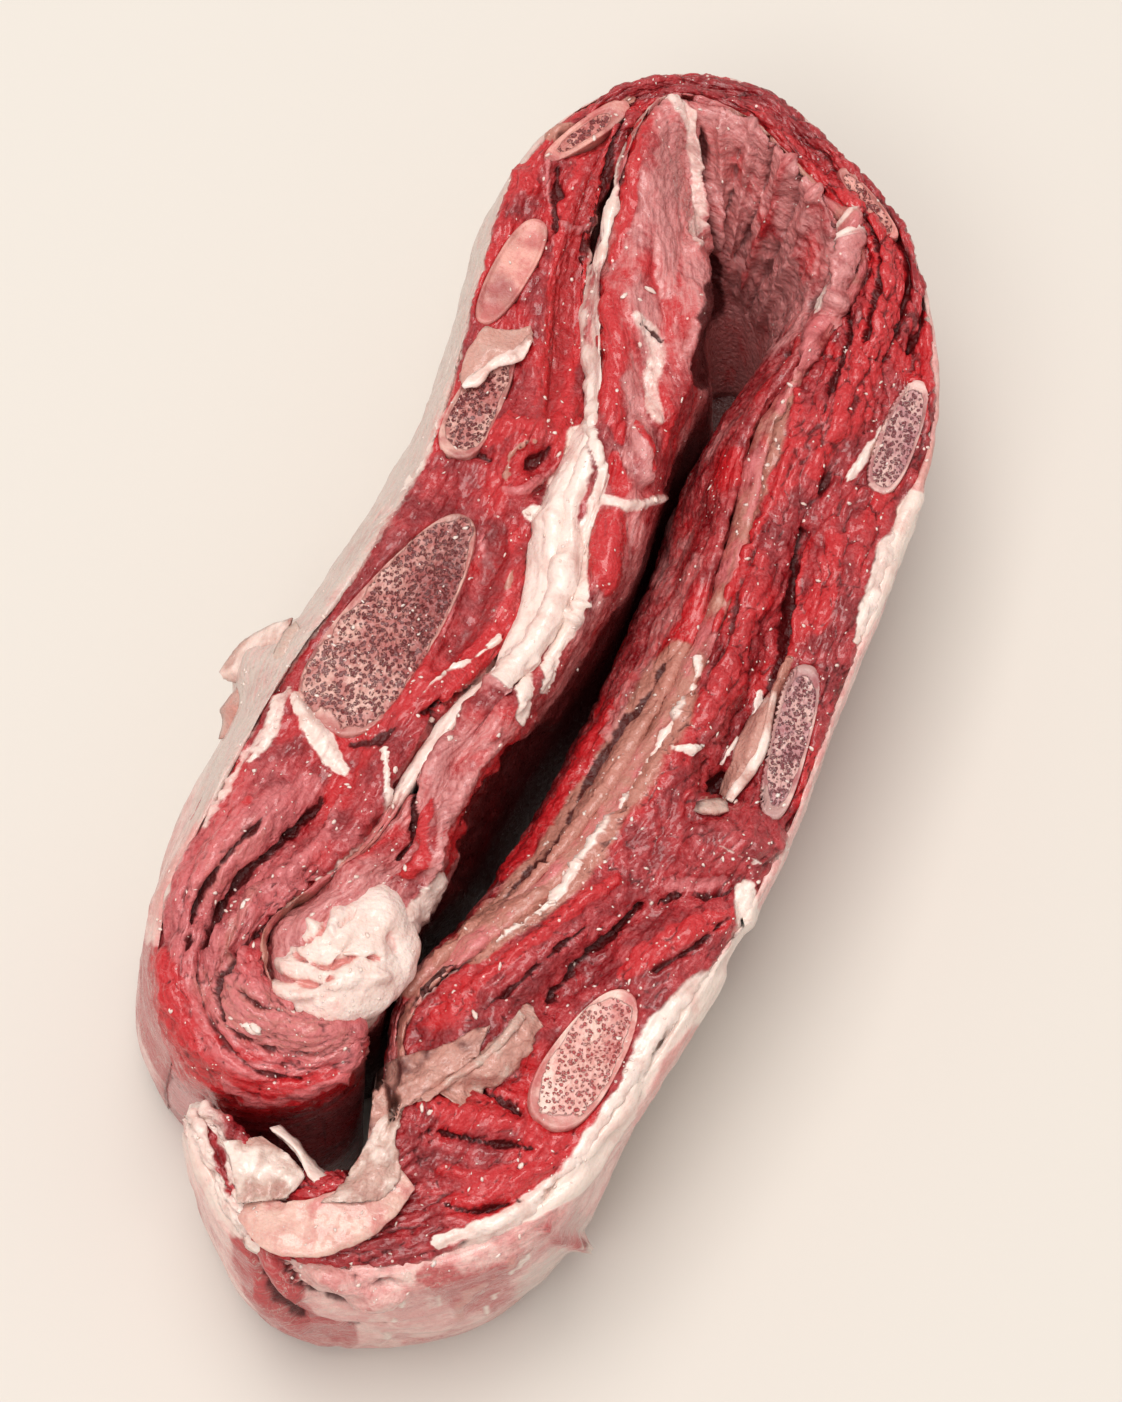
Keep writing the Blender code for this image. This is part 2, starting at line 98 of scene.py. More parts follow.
def spline(rows: object, u: np.ndarray) -> np.ndarray:
    """Catmull-Rom curve through equally numbered rows, at section numbers u."""
    rows = np.asarray(rows, float)
    padded = np.vstack([2 * rows[0] - rows[1], rows, 2 * rows[-1] - rows[-2]])
    i = np.clip(np.floor(u).astype(int), 0, len(rows) - 2)
    f = (u - i)[:, None]
    a, b, c, d = padded[i], padded[i + 1], padded[i + 2], padded[i + 3]
    return b + 0.5 * f * (c - a + f * (2 * a - 5 * b + 4 * c - d + f * (3 * (b - c) + d - a)))


def unit(vectors: np.ndarray) -> np.ndarray:
    """Vectors scaled to length one."""
    return vectors / np.maximum(np.linalg.norm(vectors, axis=-1, keepdims=True), 1e-9)


def link(item: bpy.types.Object) -> bpy.types.Object:
    """Put an object into the scene."""
    bpy.context.scene.collection.objects.link(item)
    return item


class Noise:
    """Seeded value noise and cell noise over points in space."""

    def __init__(self, seed: int) -> None:
        """Fill the table of random numbers."""
        self.table = np.random.default_rng(seed).random((32, 32, 32)).astype(np.float32)

    def value(self, p: np.ndarray) -> np.ndarray:
        """Smooth noise between 0 and 1 at points p (n x 3)."""
        i = np.floor(p).astype(int)
        f = p - i
        f = f * f * (3 - 2 * f)
        i &= 31
        j = (i + 1) & 31
        t = self.table
        x0 = t[i[:, 0], i[:, 1], i[:, 2]] * (1 - f[:, 0]) + t[j[:, 0], i[:, 1], i[:, 2]] * f[:, 0]
        x1 = t[i[:, 0], j[:, 1], i[:, 2]] * (1 - f[:, 0]) + t[j[:, 0], j[:, 1], i[:, 2]] * f[:, 0]
        x2 = t[i[:, 0], i[:, 1], j[:, 2]] * (1 - f[:, 0]) + t[j[:, 0], i[:, 1], j[:, 2]] * f[:, 0]
        x3 = t[i[:, 0], j[:, 1], j[:, 2]] * (1 - f[:, 0]) + t[j[:, 0], j[:, 1], j[:, 2]] * f[:, 0]
        near = x0 * (1 - f[:, 1]) + x1 * f[:, 1]
        far = x2 * (1 - f[:, 1]) + x3 * f[:, 1]
        return near * (1 - f[:, 2]) + far * f[:, 2]

    def fractal(self, p: np.ndarray, octaves: int = 4, gain: float = 0.5) -> np.ndarray:
        """Sum of octaves of smooth noise, around 0 and within about -1 to 1."""
        total = np.zeros(len(p))
        weight, size = 1.0, 0.0
        for octave in range(octaves):
            total += weight * (self.value(p * 2.03 ** octave + 7.3 * octave) * 2 - 1)
            size += weight
            weight *= gain
        return total / size * 1.5

    def cells(self, p: np.ndarray) -> tuple[np.ndarray, np.ndarray]:
        """Distances from points p to the nearest and the second nearest random site."""
        base = np.floor(p).astype(int)
        first = np.full(len(p), 9.0)
        second = np.full(len(p), 9.0)
        for dx in (-1, 0, 1):
            for dy in (-1, 0, 1):
                for dz in (-1, 0, 1):
                    cell = base + (dx, dy, dz)
                    k = cell & 31
                    site = np.stack([self.table[k[:, a], k[:, (a + 1) % 3], k[:, (a + 2) % 3]]
                                     for a in range(3)], axis=1)
                    away = np.linalg.norm(cell + site - p, axis=1)
                    second = np.minimum(second, np.maximum(first, away))
                    first = np.minimum(first, away)
        return first, second


@dataclass(frozen=True)
class Viewpoint:
    """The camera: its angles, lens and the picture that it fills."""

    azimuth: float = 18.0
    elevation: float = 70.0
    lens: float = 100.0
    sensor: float = 36.0
    width: int = 1122
    height: int = 1402
    scale: float = 4.2
    target: tuple[float, float, float] = (0.0, 0.0, 42.0)

    def axes(self) -> tuple[np.ndarray, np.ndarray, np.ndarray]:
        """Right, up and backward directions."""
        a, e = math.radians(self.azimuth), math.radians(self.elevation)
        back = np.array([math.sin(a) * math.cos(e), -math.cos(a) * math.cos(e), math.sin(e)])
        right = np.array([math.cos(a), math.sin(a), 0.0])
        return right, np.cross(back, right), back

    def focal(self) -> float:
        """Focal length in pixels."""
        return self.lens / self.sensor * self.height

    def eye(self) -> np.ndarray:
        """Position of the camera."""
        return np.array(self.target) + self.axes()[2] * self.focal() / self.scale

    def project(self, points: np.ndarray) -> np.ndarray:
        """Picture position of points (n x 3)."""
        right, up, back = self.axes()
        away = points - self.eye()
        depth = -(away @ back)
        return np.stack([self.width / 2 + self.focal() * (away @ right) / depth,
                         self.height / 2 - self.focal() * (away @ up) / depth], axis=1)

    def place(self, x: float, y: float, z: float) -> np.ndarray:
        """The point at height z that shows at a picture position."""
        way = self.ray(x, y)
        return self.eye() + way * (z - self.eye()[2]) / way[2]

    def ray(self, x: float, y: float) -> np.ndarray:
        """Direction from the camera through a picture position."""
        right, up, back = self.axes()
        over, down = (x - self.width / 2) / self.focal(), (y - self.height / 2) / self.focal()
        return unit(-back + right * over - up * down)

    def build(self) -> None:
        """Make the scene's camera."""
        right, up, back = self.axes()
        eye = self.eye() - CENTRE
        data = bpy.data.cameras.new("camera")
        data.lens = self.lens
        data.sensor_fit = "VERTICAL"
        data.sensor_height = self.sensor
        data.clip_end = 20.0
        camera = bpy.data.objects.new("camera", data)
        rows = [[right[i], up[i], back[i], eye[i] * MM] for i in range(3)]
        camera.matrix_world = Matrix(rows + [[0.0, 0.0, 0.0, 1.0]])
        link(camera)
        bpy.context.scene.camera = camera


VIEW = Viewpoint()


@dataclass(frozen=True)
class Stroke:
    """A listed form: a route in picture positions with a width, a rise and a tissue."""

    name: str
    layers: str                  # letters of the layers that it shapes
    route: tuple[Point, ...]
    width: float                 # half width in picture units
    rise: float = 0.0            # millimetres
    paint: Paint | None = None
    amount: float = 1.0          # share of the tissue; below 0 it is taken away
    end: float | None = None     # half width at the end of the route

    def near(self, spots: np.ndarray, warp: np.ndarray) -> tuple[np.ndarray, np.ndarray]:
        """Indices of the spots near the route, and their distance as a share of the half width."""
        route = np.array(self.route, float)
        if len(route) > 2:
            route = spline(route, np.linspace(0, len(route) - 1, 6 * (len(route) - 1) + 1))
        last = self.width if self.end is None else self.end
        reach = max(self.width, last) * 2.4 + 4.0
        low, high = route.min(axis=0) - reach, route.max(axis=0) + reach
        keep = np.flatnonzero(np.all((spots > low) & (spots < high), axis=1))
        near = spots[keep]
        best = np.full(len(keep), 1e9)
        count = len(route) - 1
        for i in range(count):
            way = route[i + 1] - route[i]
            f = np.clip(((near - route[i]) @ way) / max(way @ way, 1e-9), 0, 1)
            share = (i + f) / count
            taper = 0.45 + 0.55 * np.sqrt(np.sin(math.pi * np.clip(share, 0.02, 0.98)))
            wide = (self.width * (1 - share) + last * share) * taper
            away = np.linalg.norm(near - route[i] - f[:, None] * way, axis=1) + warp[keep]
            best = np.minimum(best, np.maximum(away, 0) / wide)
        return keep, best


class Surface:
    """A closed grid of points that is sculpted and painted before it becomes a mesh."""

    GAIN = 1.4      # how much the strokes' rises are exaggerated
    FADE = 1.6      # how fast a rise falls off beside its route
    EDGE = (0.45, 1.35)    # where a tissue starts to fade and is gone, in half widths
    COVER = 0.85    # share of another tissue that a stroke takes away

    def __init__(self, points: np.ndarray) -> None:
        """Start with bare tissue on the points (rings x outline x 3)."""
        self.points = points
        self.shape = points.shape[:2]
        self.masks = {paint: np.zeros(self.shape) for paint in Paint}
        self.spots = VIEW.project(points.reshape(-1, 3))
        self.grain = points / 10.0

    def normals(self) -> np.ndarray:
        """Outward directions at the grid's points."""
        p = self.points
        over = np.roll(p, -1, axis=1) - np.roll(p, 1, axis=1)
        normal = unit(np.cross(np.gradient(p, axis=0), over))
        sign = np.sign(np.sum(normal * (p - p.mean(axis=1, keepdims=True))))
        return normal * (sign if sign != 0 else 1.0)

    def paint(self, paint: Paint, amount: np.ndarray, most: float = 1.0) -> None:
        """Set the mask of a tissue, kept between 0 and the most that it may be."""
        self.masks[paint] = np.clip(amount, 0, most)

    def over(self, values: np.ndarray) -> np.ndarray:
        """Values for every point of the grid, from a flat list of them or from one outline."""
        if values.size == self.shape[0] * self.shape[1]:
            return values.reshape(self.shape)
        return np.broadcast_to(values, self.shape)

    def push(self, amount: np.ndarray) -> None:
        """Move the points outward by an amount in millimetres."""
        self.points = self.points + self.normals() * amount[..., None]

    def lift(self, amount: np.ndarray) -> None:
        """Move the points upward by an amount in millimetres."""
        self.points = self.points.copy()
        self.points[..., 2] += amount

    def stroke(self, strokes: tuple[Stroke, ...], letter: str, warp: np.ndarray,
               limit: np.ndarray) -> np.ndarray:
        """Paint the strokes of a layer.

        Args:
            strokes: The strokes, in the order in which they are laid.
            letter: The layer's letter.
            warp: Ragged shift of the strokes' edges, in picture units.
            limit: Share of each point that strokes may change.

        Returns:
            The rise that they make, in millimetres.
        """
        rise = np.zeros(self.shape[0] * self.shape[1])
        cover = limit.ravel()
        for item in strokes:
            if letter not in item.layers:
                continue
            keep, away = item.near(self.spots, warp)
            if item.rise:
                rise[keep] += self.GAIN * item.rise * np.exp(-self.FADE * away ** 2) * cover[keep]
            if item.paint is not None:
                mask = self.masks[item.paint].reshape(-1)
                share = (1 - smooth(*self.EDGE, away)) * cover[keep]
                if item.amount > 0:
                    mask[keep] = np.maximum(mask[keep], share * item.amount)
                    for other in OVER.get(item.paint, ()):
                        over = self.masks[other].reshape(-1)
                        over[keep] = over[keep] * (1 - self.COVER * share * item.amount)
                else:
                    mask[keep] = mask[keep] * (1 + share * item.amount)
        return rise.reshape(self.shape)

    def build(self, name: str) -> bpy.types.Object:
        """Make the mesh object, with the masks as point attributes and both ends closed."""
        rows, cols = self.shape
        verts = self.points.reshape(-1, 3) - CENTRE
        i = np.arange(rows - 1)[:, None] * cols
        j = np.arange(cols)[None, :]
        k = (j + 1) % cols
        quads = np.stack([i + j, i + k, i + k + cols, i + j + cols], axis=-1).reshape(-1, 4).tolist()
        ends = []
        for start in (0, (rows - 1) * cols):
            middle = len(verts) + len(ends)
            ends.append(verts[start:start + cols].mean(axis=0))
            fan = [[start + c, start + (c + 1) % cols, middle] for c in range(cols)]
            quads += fan if start else [f[::-1] for f in fan]
        mesh = bpy.data.meshes.new(name)
        mesh.from_pydata(np.vstack([verts, np.array(ends)]) * MM, [], quads)
        for paint, mask in self.masks.items():
            values = np.concatenate([mask.ravel(), [mask[0].mean(), mask[-1].mean()]])
            layer = mesh.attributes.new(paint.value, "FLOAT", "POINT")
            layer.data.foreach_set("value", values.astype(np.float32))
        grain = np.vstack([self.grain.reshape(-1, 3), self.grain[[0, -1], 0]])
        layer = mesh.attributes.new("grain", "FLOAT_VECTOR", "POINT")
        layer.data.foreach_set("vector", grain.astype(np.float32).ravel())
        mesh.update()
        a, b, c, d = (verts[np.array(quads[:rows * cols - cols])[:, k]] for k in range(4))
        if np.sum(a * (np.cross(b, c) + np.cross(c, d))) < 0:
            mesh.flip_normals()
        mesh.shade_smooth()
        return link(bpy.data.objects.new(name, mesh))


class Ground:
    """The surfaces built so far, on which sheets and flecks come to lie."""

    def __init__(self) -> None:
        """Start with nothing built."""
        self.items: list[bpy.types.Object] = []
        self.tree: BVHTree | None = None

    def add(self, item: bpy.types.Object) -> None:
        """Let an object carry what is laid on later."""
        self.items.append(item)
        self.tree = None

    def ready(self) -> BVHTree:
        """The search tree over all objects."""
        if self.tree is None:
            verts, faces = [], []
            for item in self.items:
                start = len(verts)
                mesh = item.data
                spots = np.empty(len(mesh.vertices) * 3)
                mesh.vertices.foreach_get("co", spots)
                verts += (spots.reshape(-1, 3) / MM + CENTRE).tolist()
                faces += [[start + i for i in face.vertices] for face in mesh.polygons]
            self.tree = BVHTree.FromPolygons(verts, faces)
        return self.tree

    def hit(self, x: float, y: float) -> tuple[np.ndarray, np.ndarray] | None:
        """Point and normal of the surface that shows at a picture position."""
        spot, normal, _, _ = self.ready().ray_cast(Vector(VIEW.eye()), Vector(VIEW.ray(x, y)))
        if spot is None:
            return None
        return np.array(spot), np.array(normal)


GROUND = Ground()


class Strip:
    """The bent strip: its sections and the walls and faces that follow them."""

    # Sections in plan: outer face, seam, inner face, and the heights of the cut face across them
    SECTIONS = (
        ((-9, -104), (-16, -98), (-10, -97), (78, 84, 80, 78)),
        ((-20, -117), (-28, -101), (-13, -103), (76, 87, 82, 78)),
        ((-39, -121), (-37, -96), (-12, -95), (74, 88, 82, 78)),
        ((-58, -109), (-41, -85), (-12, -83), (76, 87, 83, 79)),
        ((-66, -86), (-34, -73), (-10.5, -68), (79, 85, 84, 81)),
        ((-64, -58), (-26, -59), (-6, -52), (81, 83, 84, 82)),
        ((-59, -26), (-20, -32), (-3, -30), (80, 82, 84, 83)),
        ((-51, 6), (-9, 0), (3, -2), (80, 82, 85, 84)),
        ((-46, 30), (-12, 28), (10, 25), (79, 80, 87, 84)),
        ((-46, 54), (-11, 55), (9, 54), (78, 79, 88, 84)),
        ((-48, 82), (-21, 90), (10, 80), (78, 79, 88, 82)),
        ((-49, 110), (-24, 120), (4, 99), (78, 80, 88, 76)),
        ((-40, 134), (-22, 137), (1, 110), (77, 80, 87, 66)),
        ((-19, 153), (-14, 143), (2, 117), (75, 79, 85, 58)),
        ((4, 155), (2, 142), (10, 120), (74, 78, 83, 54)),
        ((26, 143), (20, 131), (20, 115), (76, 79, 83, 54)),
        ((46, 127), (37, 117), (24, 106), (79, 81, 84, 54)),
        ((60, 102), (36, 97), (21, 92), (80, 82, 82, 52)),
        ((68, 74), (29, 68), (14, 64), (80, 81, 79, 50)),
        ((68, 44), (31, 38), (12.5, 33), (80, 81, 78, 50)),
        ((66, 10), (31, 8), (10.5, 3), (80, 81, 78, 50)),
        ((64, -28), (25, -27), (6, -26), (80, 81, 78, 50)),
        ((58, -64), (14, -58), (0.5, -54), (80, 81, 78, 52)),
        ((50, -97), (2, -76), (-6, -72), (78, 80, 76, 56)),
        ((40, -127), (-6, -94), (-9.5, -90), (75, 77, 72, 62)),
        ((19, -146), (-1, -113), (-7, -108), (73, 76, 66, 62)),
        ((-7, -155), (-8, -129), (-12, -120), (72, 75, 68, 66)),
        ((-26, -151), (-20, -132), (-16, -126), (71, 74, 70, 68)),
        ((-48, -130), (-42, -124), (-30, -124), (70, 72, 70, 68)),
    )
    # Section numbers of the strip's end and of the layers' ends
    LAST = 28
    FAT_START = 2.6
    MUSCLE_START = 1.35
    MUSCLE_END = 24.9
    # Leans, bulges, feet and thicknesses in millimetres, as tables of (section number, size)
    INNER_LEAN = 2.0
    OUTER_LEAN = ((0, 8), (3, 10), (5, 11), (9, 8), (13, 8), (16, 13), (22.6, 13), (25.4, 1), (28, 0))
    SEAM_LEAN = ((0, 8), (22.6, 8), (25.4, 1), (28, 0))
    OUTER_BULGE = ((0, 1), (2.6, 1), (4, 4), (6, 7), (7.5, 9), (9, 5), (12, 2), (22, 2), (25, 4), (28, 3))
    OUTER_TUCK = ((0, -10), (0.8, -9), (1.7, -6), (2.4, 0), (25, 0), (26.4, -1), (28, 0))
    SEAM_FOOT = ((24.8, 0), (25.3, 16), (26.0, 17), (26.9, 8), (27.5, 4), (28, 1))
    FAT_THICK = ((2.4, 0.7), (4, 1.7), (7, 2.4), (9, 1.8), (14, 2.2), (18, 2.0), (18.8, 4.5), (19.6, 2.2),
                 (21.6, 2.2), (22.4, 5.5), (23, 5.5), (24, 7.5), (26, 5), (28, 3))
    SEAM_THICK = ((0, 1.6), (4, 2), (6.4, 4), (7.6, 7), (8.6, 3), (11, 2), (14, 2), (17, 3), (18.5, 4.6),
                  (22, 4.6), (23.6, 3), (28, 1.6))
    CROWN = ((0, 5.0), (3.4, 5.0), (5, 1.8))
    MUSCLE_FOOT = ((0, -1), (4, -1), (5, 1), (7, 2), (8.2, -1), (9, 1.5), (10, 6.5), (11, 11), (12, 13),
                   (13, 16), (15, 16), (16.4, 10), (17.4, 6), (19, 1.5), (20, 3), (21, 4), (22, 2.5),
                   (23, 0.5), (25, 0))
    # Rounded ends: length, share of the thickness that is left, share of the height
    TIP = (10.0, 0.34, 0.93)
    # Pocket on the left side: section, height, reach, and its spread along and up
    POCKET = (6.15, 60.0, 9.0, 0.30, 13.0)
    # Long forms of the cut face: two ends in plan, half width and height
    FORMS = (
        (-33, 47, -26, 46, 7, 3.0), (-20, 41, -16, 38, 4, -4.0), (-22, 25, -23, -14, 4, -3.5),
        (-20, -19, -6, -20, 6, 2.5), (-19, -33, -10, -58, 4, 3.0), (-41, -62, -54, -86, 3.5, -4.0),
        (-43, -80, -49, -104, 3.5, -3.5), (-47, -58, -62, -84, 4, 2.0), (-30, -40, -30, -66, 5, 1.5),
        (46, 42, 44, -8, 3.5, -4.0), (43, -19, 47, -21, 5, -7.0), (57, 98, 55, 70, 4, -2.5),
        (48, 100, 46, 72, 4, 2.0), (46, -39, 60, -32, 7, 3.5), (36, -57, 52, -44, 4, -3.5),
        (22, -83, 31, -66, 4, -4.5), (5, -116, 30, -112, 6, 2.5), (12, -104, 24, -98, 4, -4.0),
    )

    def __init__(self, step: float) -> None:
        """Place rings along the strip, about a step in millimetres apart."""
        dense = np.linspace(0, self.LAST, 2400)
        outer, seam = (spline([section[i] for section in self.SECTIONS], dense) for i in (0, 1))
        middle = (outer + seam) / 2
        run = np.concatenate([[0], np.cumsum(np.linalg.norm(np.diff(middle, axis=0), axis=1))])
        count = int(run[-1] / step)
        self.u = np.interp(np.linspace(0, run[-1], count), run, dense)
        self.run = np.interp(self.u, dense, run)
        outer = spline([s[0] for s in self.SECTIONS], self.u)
        seam = spline([s[1] for s in self.SECTIONS], self.u)
        self.inner = spline([s[2] for s in self.SECTIONS], self.u)
        self.left = self.tip(self.TIP[1])
        middle = (outer + seam) / 2
        self.outer = middle + (outer - middle) * self.left[:, None]
        self.seam = middle + (seam - middle) * self.left[:, None]
        self.tops = spline([s[3] for s in self.SECTIONS], self.u) * self.tip(self.TIP[2])[:, None]
        self.rib_way = unit(self.seam - self.outer)
        self.muscle_way = unit(self.inner - self.seam)

    def tip(self, least: float) -> np.ndarray:
        """Share of a size that is left near the two rounded ends."""
        near = np.minimum(self.run - self.run[0], self.run[-1] - self.run)
        f = np.clip(near / self.TIP[0], 0, 1)
        return least + (1 - least) * np.sqrt(1 - (1 - f) ** 2)

    def part(self, first: float, last: float) -> "Strip":
        """The stretch between two section numbers."""
        keep = (self.u > first) & (self.u < last)
        piece = Strip.__new__(Strip)
        for name, values in vars(self).items():
            setattr(piece, name, values[keep])
        return piece

    def outer_wall(self, depth: np.ndarray, z: np.ndarray) -> np.ndarray:
        """Plan points of the wall that lies depth inside the outer face, at height z."""
        h = np.clip(z / self.tops[:, 0], 0, 1)
        bulge = along(self.OUTER_BULGE, self.u) * np.sin(math.pi * h) ** 0.8
        tuck = along(self.OUTER_TUCK, self.u) * (1 - h) ** 2
        sag = 0.8 * np.sin(2.1 * self.u + z / 17.0) + 0.5 * np.sin(3.7 * self.u - z / 11.0)
        inward = depth + (tuck - bulge - sag * np.sin(math.pi * h)) * self.left
        points = self.outer + self.rib_way * inward[:, None]
        seam_lean = along(self.SEAM_LEAN, self.u)
        lean = seam_lean + (along(self.OUTER_LEAN, self.u) - seam_lean) * self.left
        points[:, 0] += lean * (z / HEIGHT - 1)
        return points

    def seam_wall(self, shift: np.ndarray, z: np.ndarray) -> np.ndarray:
        """Plan points beside the seam at height z."""
        h = np.clip(z / self.tops[:, 1], 0, 1)
        way = np.where((shift < 0)[:, None], self.rib_way, self.muscle_way)
        points = self.seam + way * shift[:, None]
        points = points + self.rib_way * (along(self.SEAM_FOOT, self.u) * (1 - h))[:, None]
        points[:, 0] += along(self.SEAM_LEAN, self.u) * (z / HEIGHT - 1)
        return points

    def inner_wall(self, z: np.ndarray) -> np.ndarray:
        """Plan points of the wall that faces the slot, at height z."""
        h = np.clip(z / self.tops[:, 3], 0, 1)
        points = self.inner + self.muscle_way * (along(self.MUSCLE_FOOT, self.u) * (1 - h))[:, None]
        points[:, 0] += self.INNER_LEAN * (z / HEIGHT - 1)
        return points

    def relief(self, x: np.ndarray, y: np.ndarray) -> np.ndarray:
        """Height that the long forms add to the cut face."""
        rise = np.zeros_like(x)
        for x1, y1, x2, y2, width, form in self.FORMS:
            dx, dy = x2 - x1, y2 - y1
            f = np.clip(((x - x1) * dx + (y - y1) * dy) / (dx * dx + dy * dy), 0.0, 1.0)
            rise += form * np.exp(-((x - x1 - f * dx) ** 2 + (y - y1 - f * dy) ** 2) / width ** 2)
        return rise

    def rolls(self, across: float, phase: float) -> np.ndarray:
        """Low rolls of the cut muscle."""
        u = self.u
        wander = 0.9 * np.sin(0.83 * u + phase) + 0.5 * np.sin(1.91 * u + 2.0 * phase)
        low = 1.4 * np.sin(2 * math.pi * 1.6 * across + wander)
        return low + 0.8 * np.sin(2.6 * u + 5.0 * across + phase) + 0.6 * np.sin(4.7 * u - 3.0 * across)


class Outline:
    """The outline of a layer's cross-section as fine stops (across, up, how much it is the top)."""

    def __init__(self, stops: tuple[tuple[float, float, float, int], ...]) -> None:
        """Divide the outline between its stops, each with the number of steps that follow it."""
        rows = []
        for a, b in zip(stops[:-1], stops[1:]):
            count = max(int(a[3] / COARSE), 2) if a[3] > 3 else a[3]
            for i in range(count):
                f = i / count
                rows.append([a[k] + (b[k] - a[k]) * f for k in range(3)])
        rows.append(list(stops[-1][:3]))
        self.rows = np.array(rows)

    def sweep(self, strip: Strip, left: object, right: object, tops: np.ndarray,
              phase: float | None, width: np.ndarray | float = 1.0) -> np.ndarray:
        """Sweep the outline along the strip.

        Args:
            strip: The stretch of the strip that the layer fills.
            left: Plan points of the layer's outer wall at a height.
            right: Plan points of its inner wall at a height.
            tops: Heights of the cut face at both walls.
            phase: Which rolls the cut face has, or none for a smooth one.
            width: Share of the layer's thickness that is left.

        Returns:
            Points of the layer before its fine sculpting (rings x outline x 3).
        """
        rings = []
        for across, up, top in self.rows:
            high = tops[:, 0] * (1 - across) + tops[:, 1] * across
            z = up * high
            f = (across * width * np.ones_like(high))[:, None]
            points = left(z) * (1 - f) + right(z) * f
            if top > 0 and phase is not None:
                crown = along(strip.CROWN, strip.u) * 4 * across * (1 - across)
                z = z + top * (crown + strip.rolls(across, phase) + strip.relief(points[:, 0], points[:, 1]))
            rings.append(np.column_stack([points, z]))
        return np.stack(rings, axis=1)


# Bones: middle in plan, length, width, turn, top height, taper, squareness and lean
BONES = (
    (-35.0, 127.5, 26, 6.5, 56, 79.5, 0.15, 2.4, 8.0),
    (-40.5, 86, 31, 9.5, 81, 80.5, 0.10, 2.4, 8.0),
    (-37.0, 52, 32, 11.5, 84, 80.5, -0.20, 2.6, 8.5),
    (-38.0, -7, 62, 22.0, 76, 82.0, -0.35, 2.6, 10.5),
    (35.0, 129.5, 23, 4.6, -37, 80.5, 0.0, 2.4, 11.0),
    (59.0, 73, 31, 9.0, 87, 81.5, -0.10, 2.6, 12.5),
    (56.5, -7, 39, 9.0, 94, 81.5, 0.10, 2.8, 12.5),
    (35.5, -91, 36, 15.5, 76, 80.0, -0.18, 2.4, 10.0),
)


def bone_reach(bone: tuple, x: np.ndarray, y: np.ndarray) -> np.ndarray:
    """How far out points of the cut face lie from a bone's middle: 1 at its outline."""
    turn = math.radians(bone[4])
    dx, dy = x - bone[0], y - bone[1]
    length = (dx * math.cos(turn) + dy * math.sin(turn)) / (bone[2] / 2)
    wide = bone[3] / 2 * (1 + bone[6] * np.clip(length, -1, 1))
    across = (-dx * math.sin(turn) + dy * math.cos(turn)) / wide
    return (np.abs(length) ** bone[7] + np.abs(across) ** bone[7]) ** (1 / bone[7])


def seats(x: np.ndarray, y: np.ndarray) -> np.ndarray:
    """How far the muscle sinks below its face under the bones' ends."""
    depth = np.zeros_like(x)
    for bone in BONES:
        depth = np.maximum(depth, 1 - smooth(0.80, 1.02, bone_reach(bone, x, y)))
    return depth


FAT, FILM, DEEP, BRIGHT, TAN = Paint.FAT, Paint.FILM, Paint.DEEP, Paint.BRIGHT, Paint.TAN
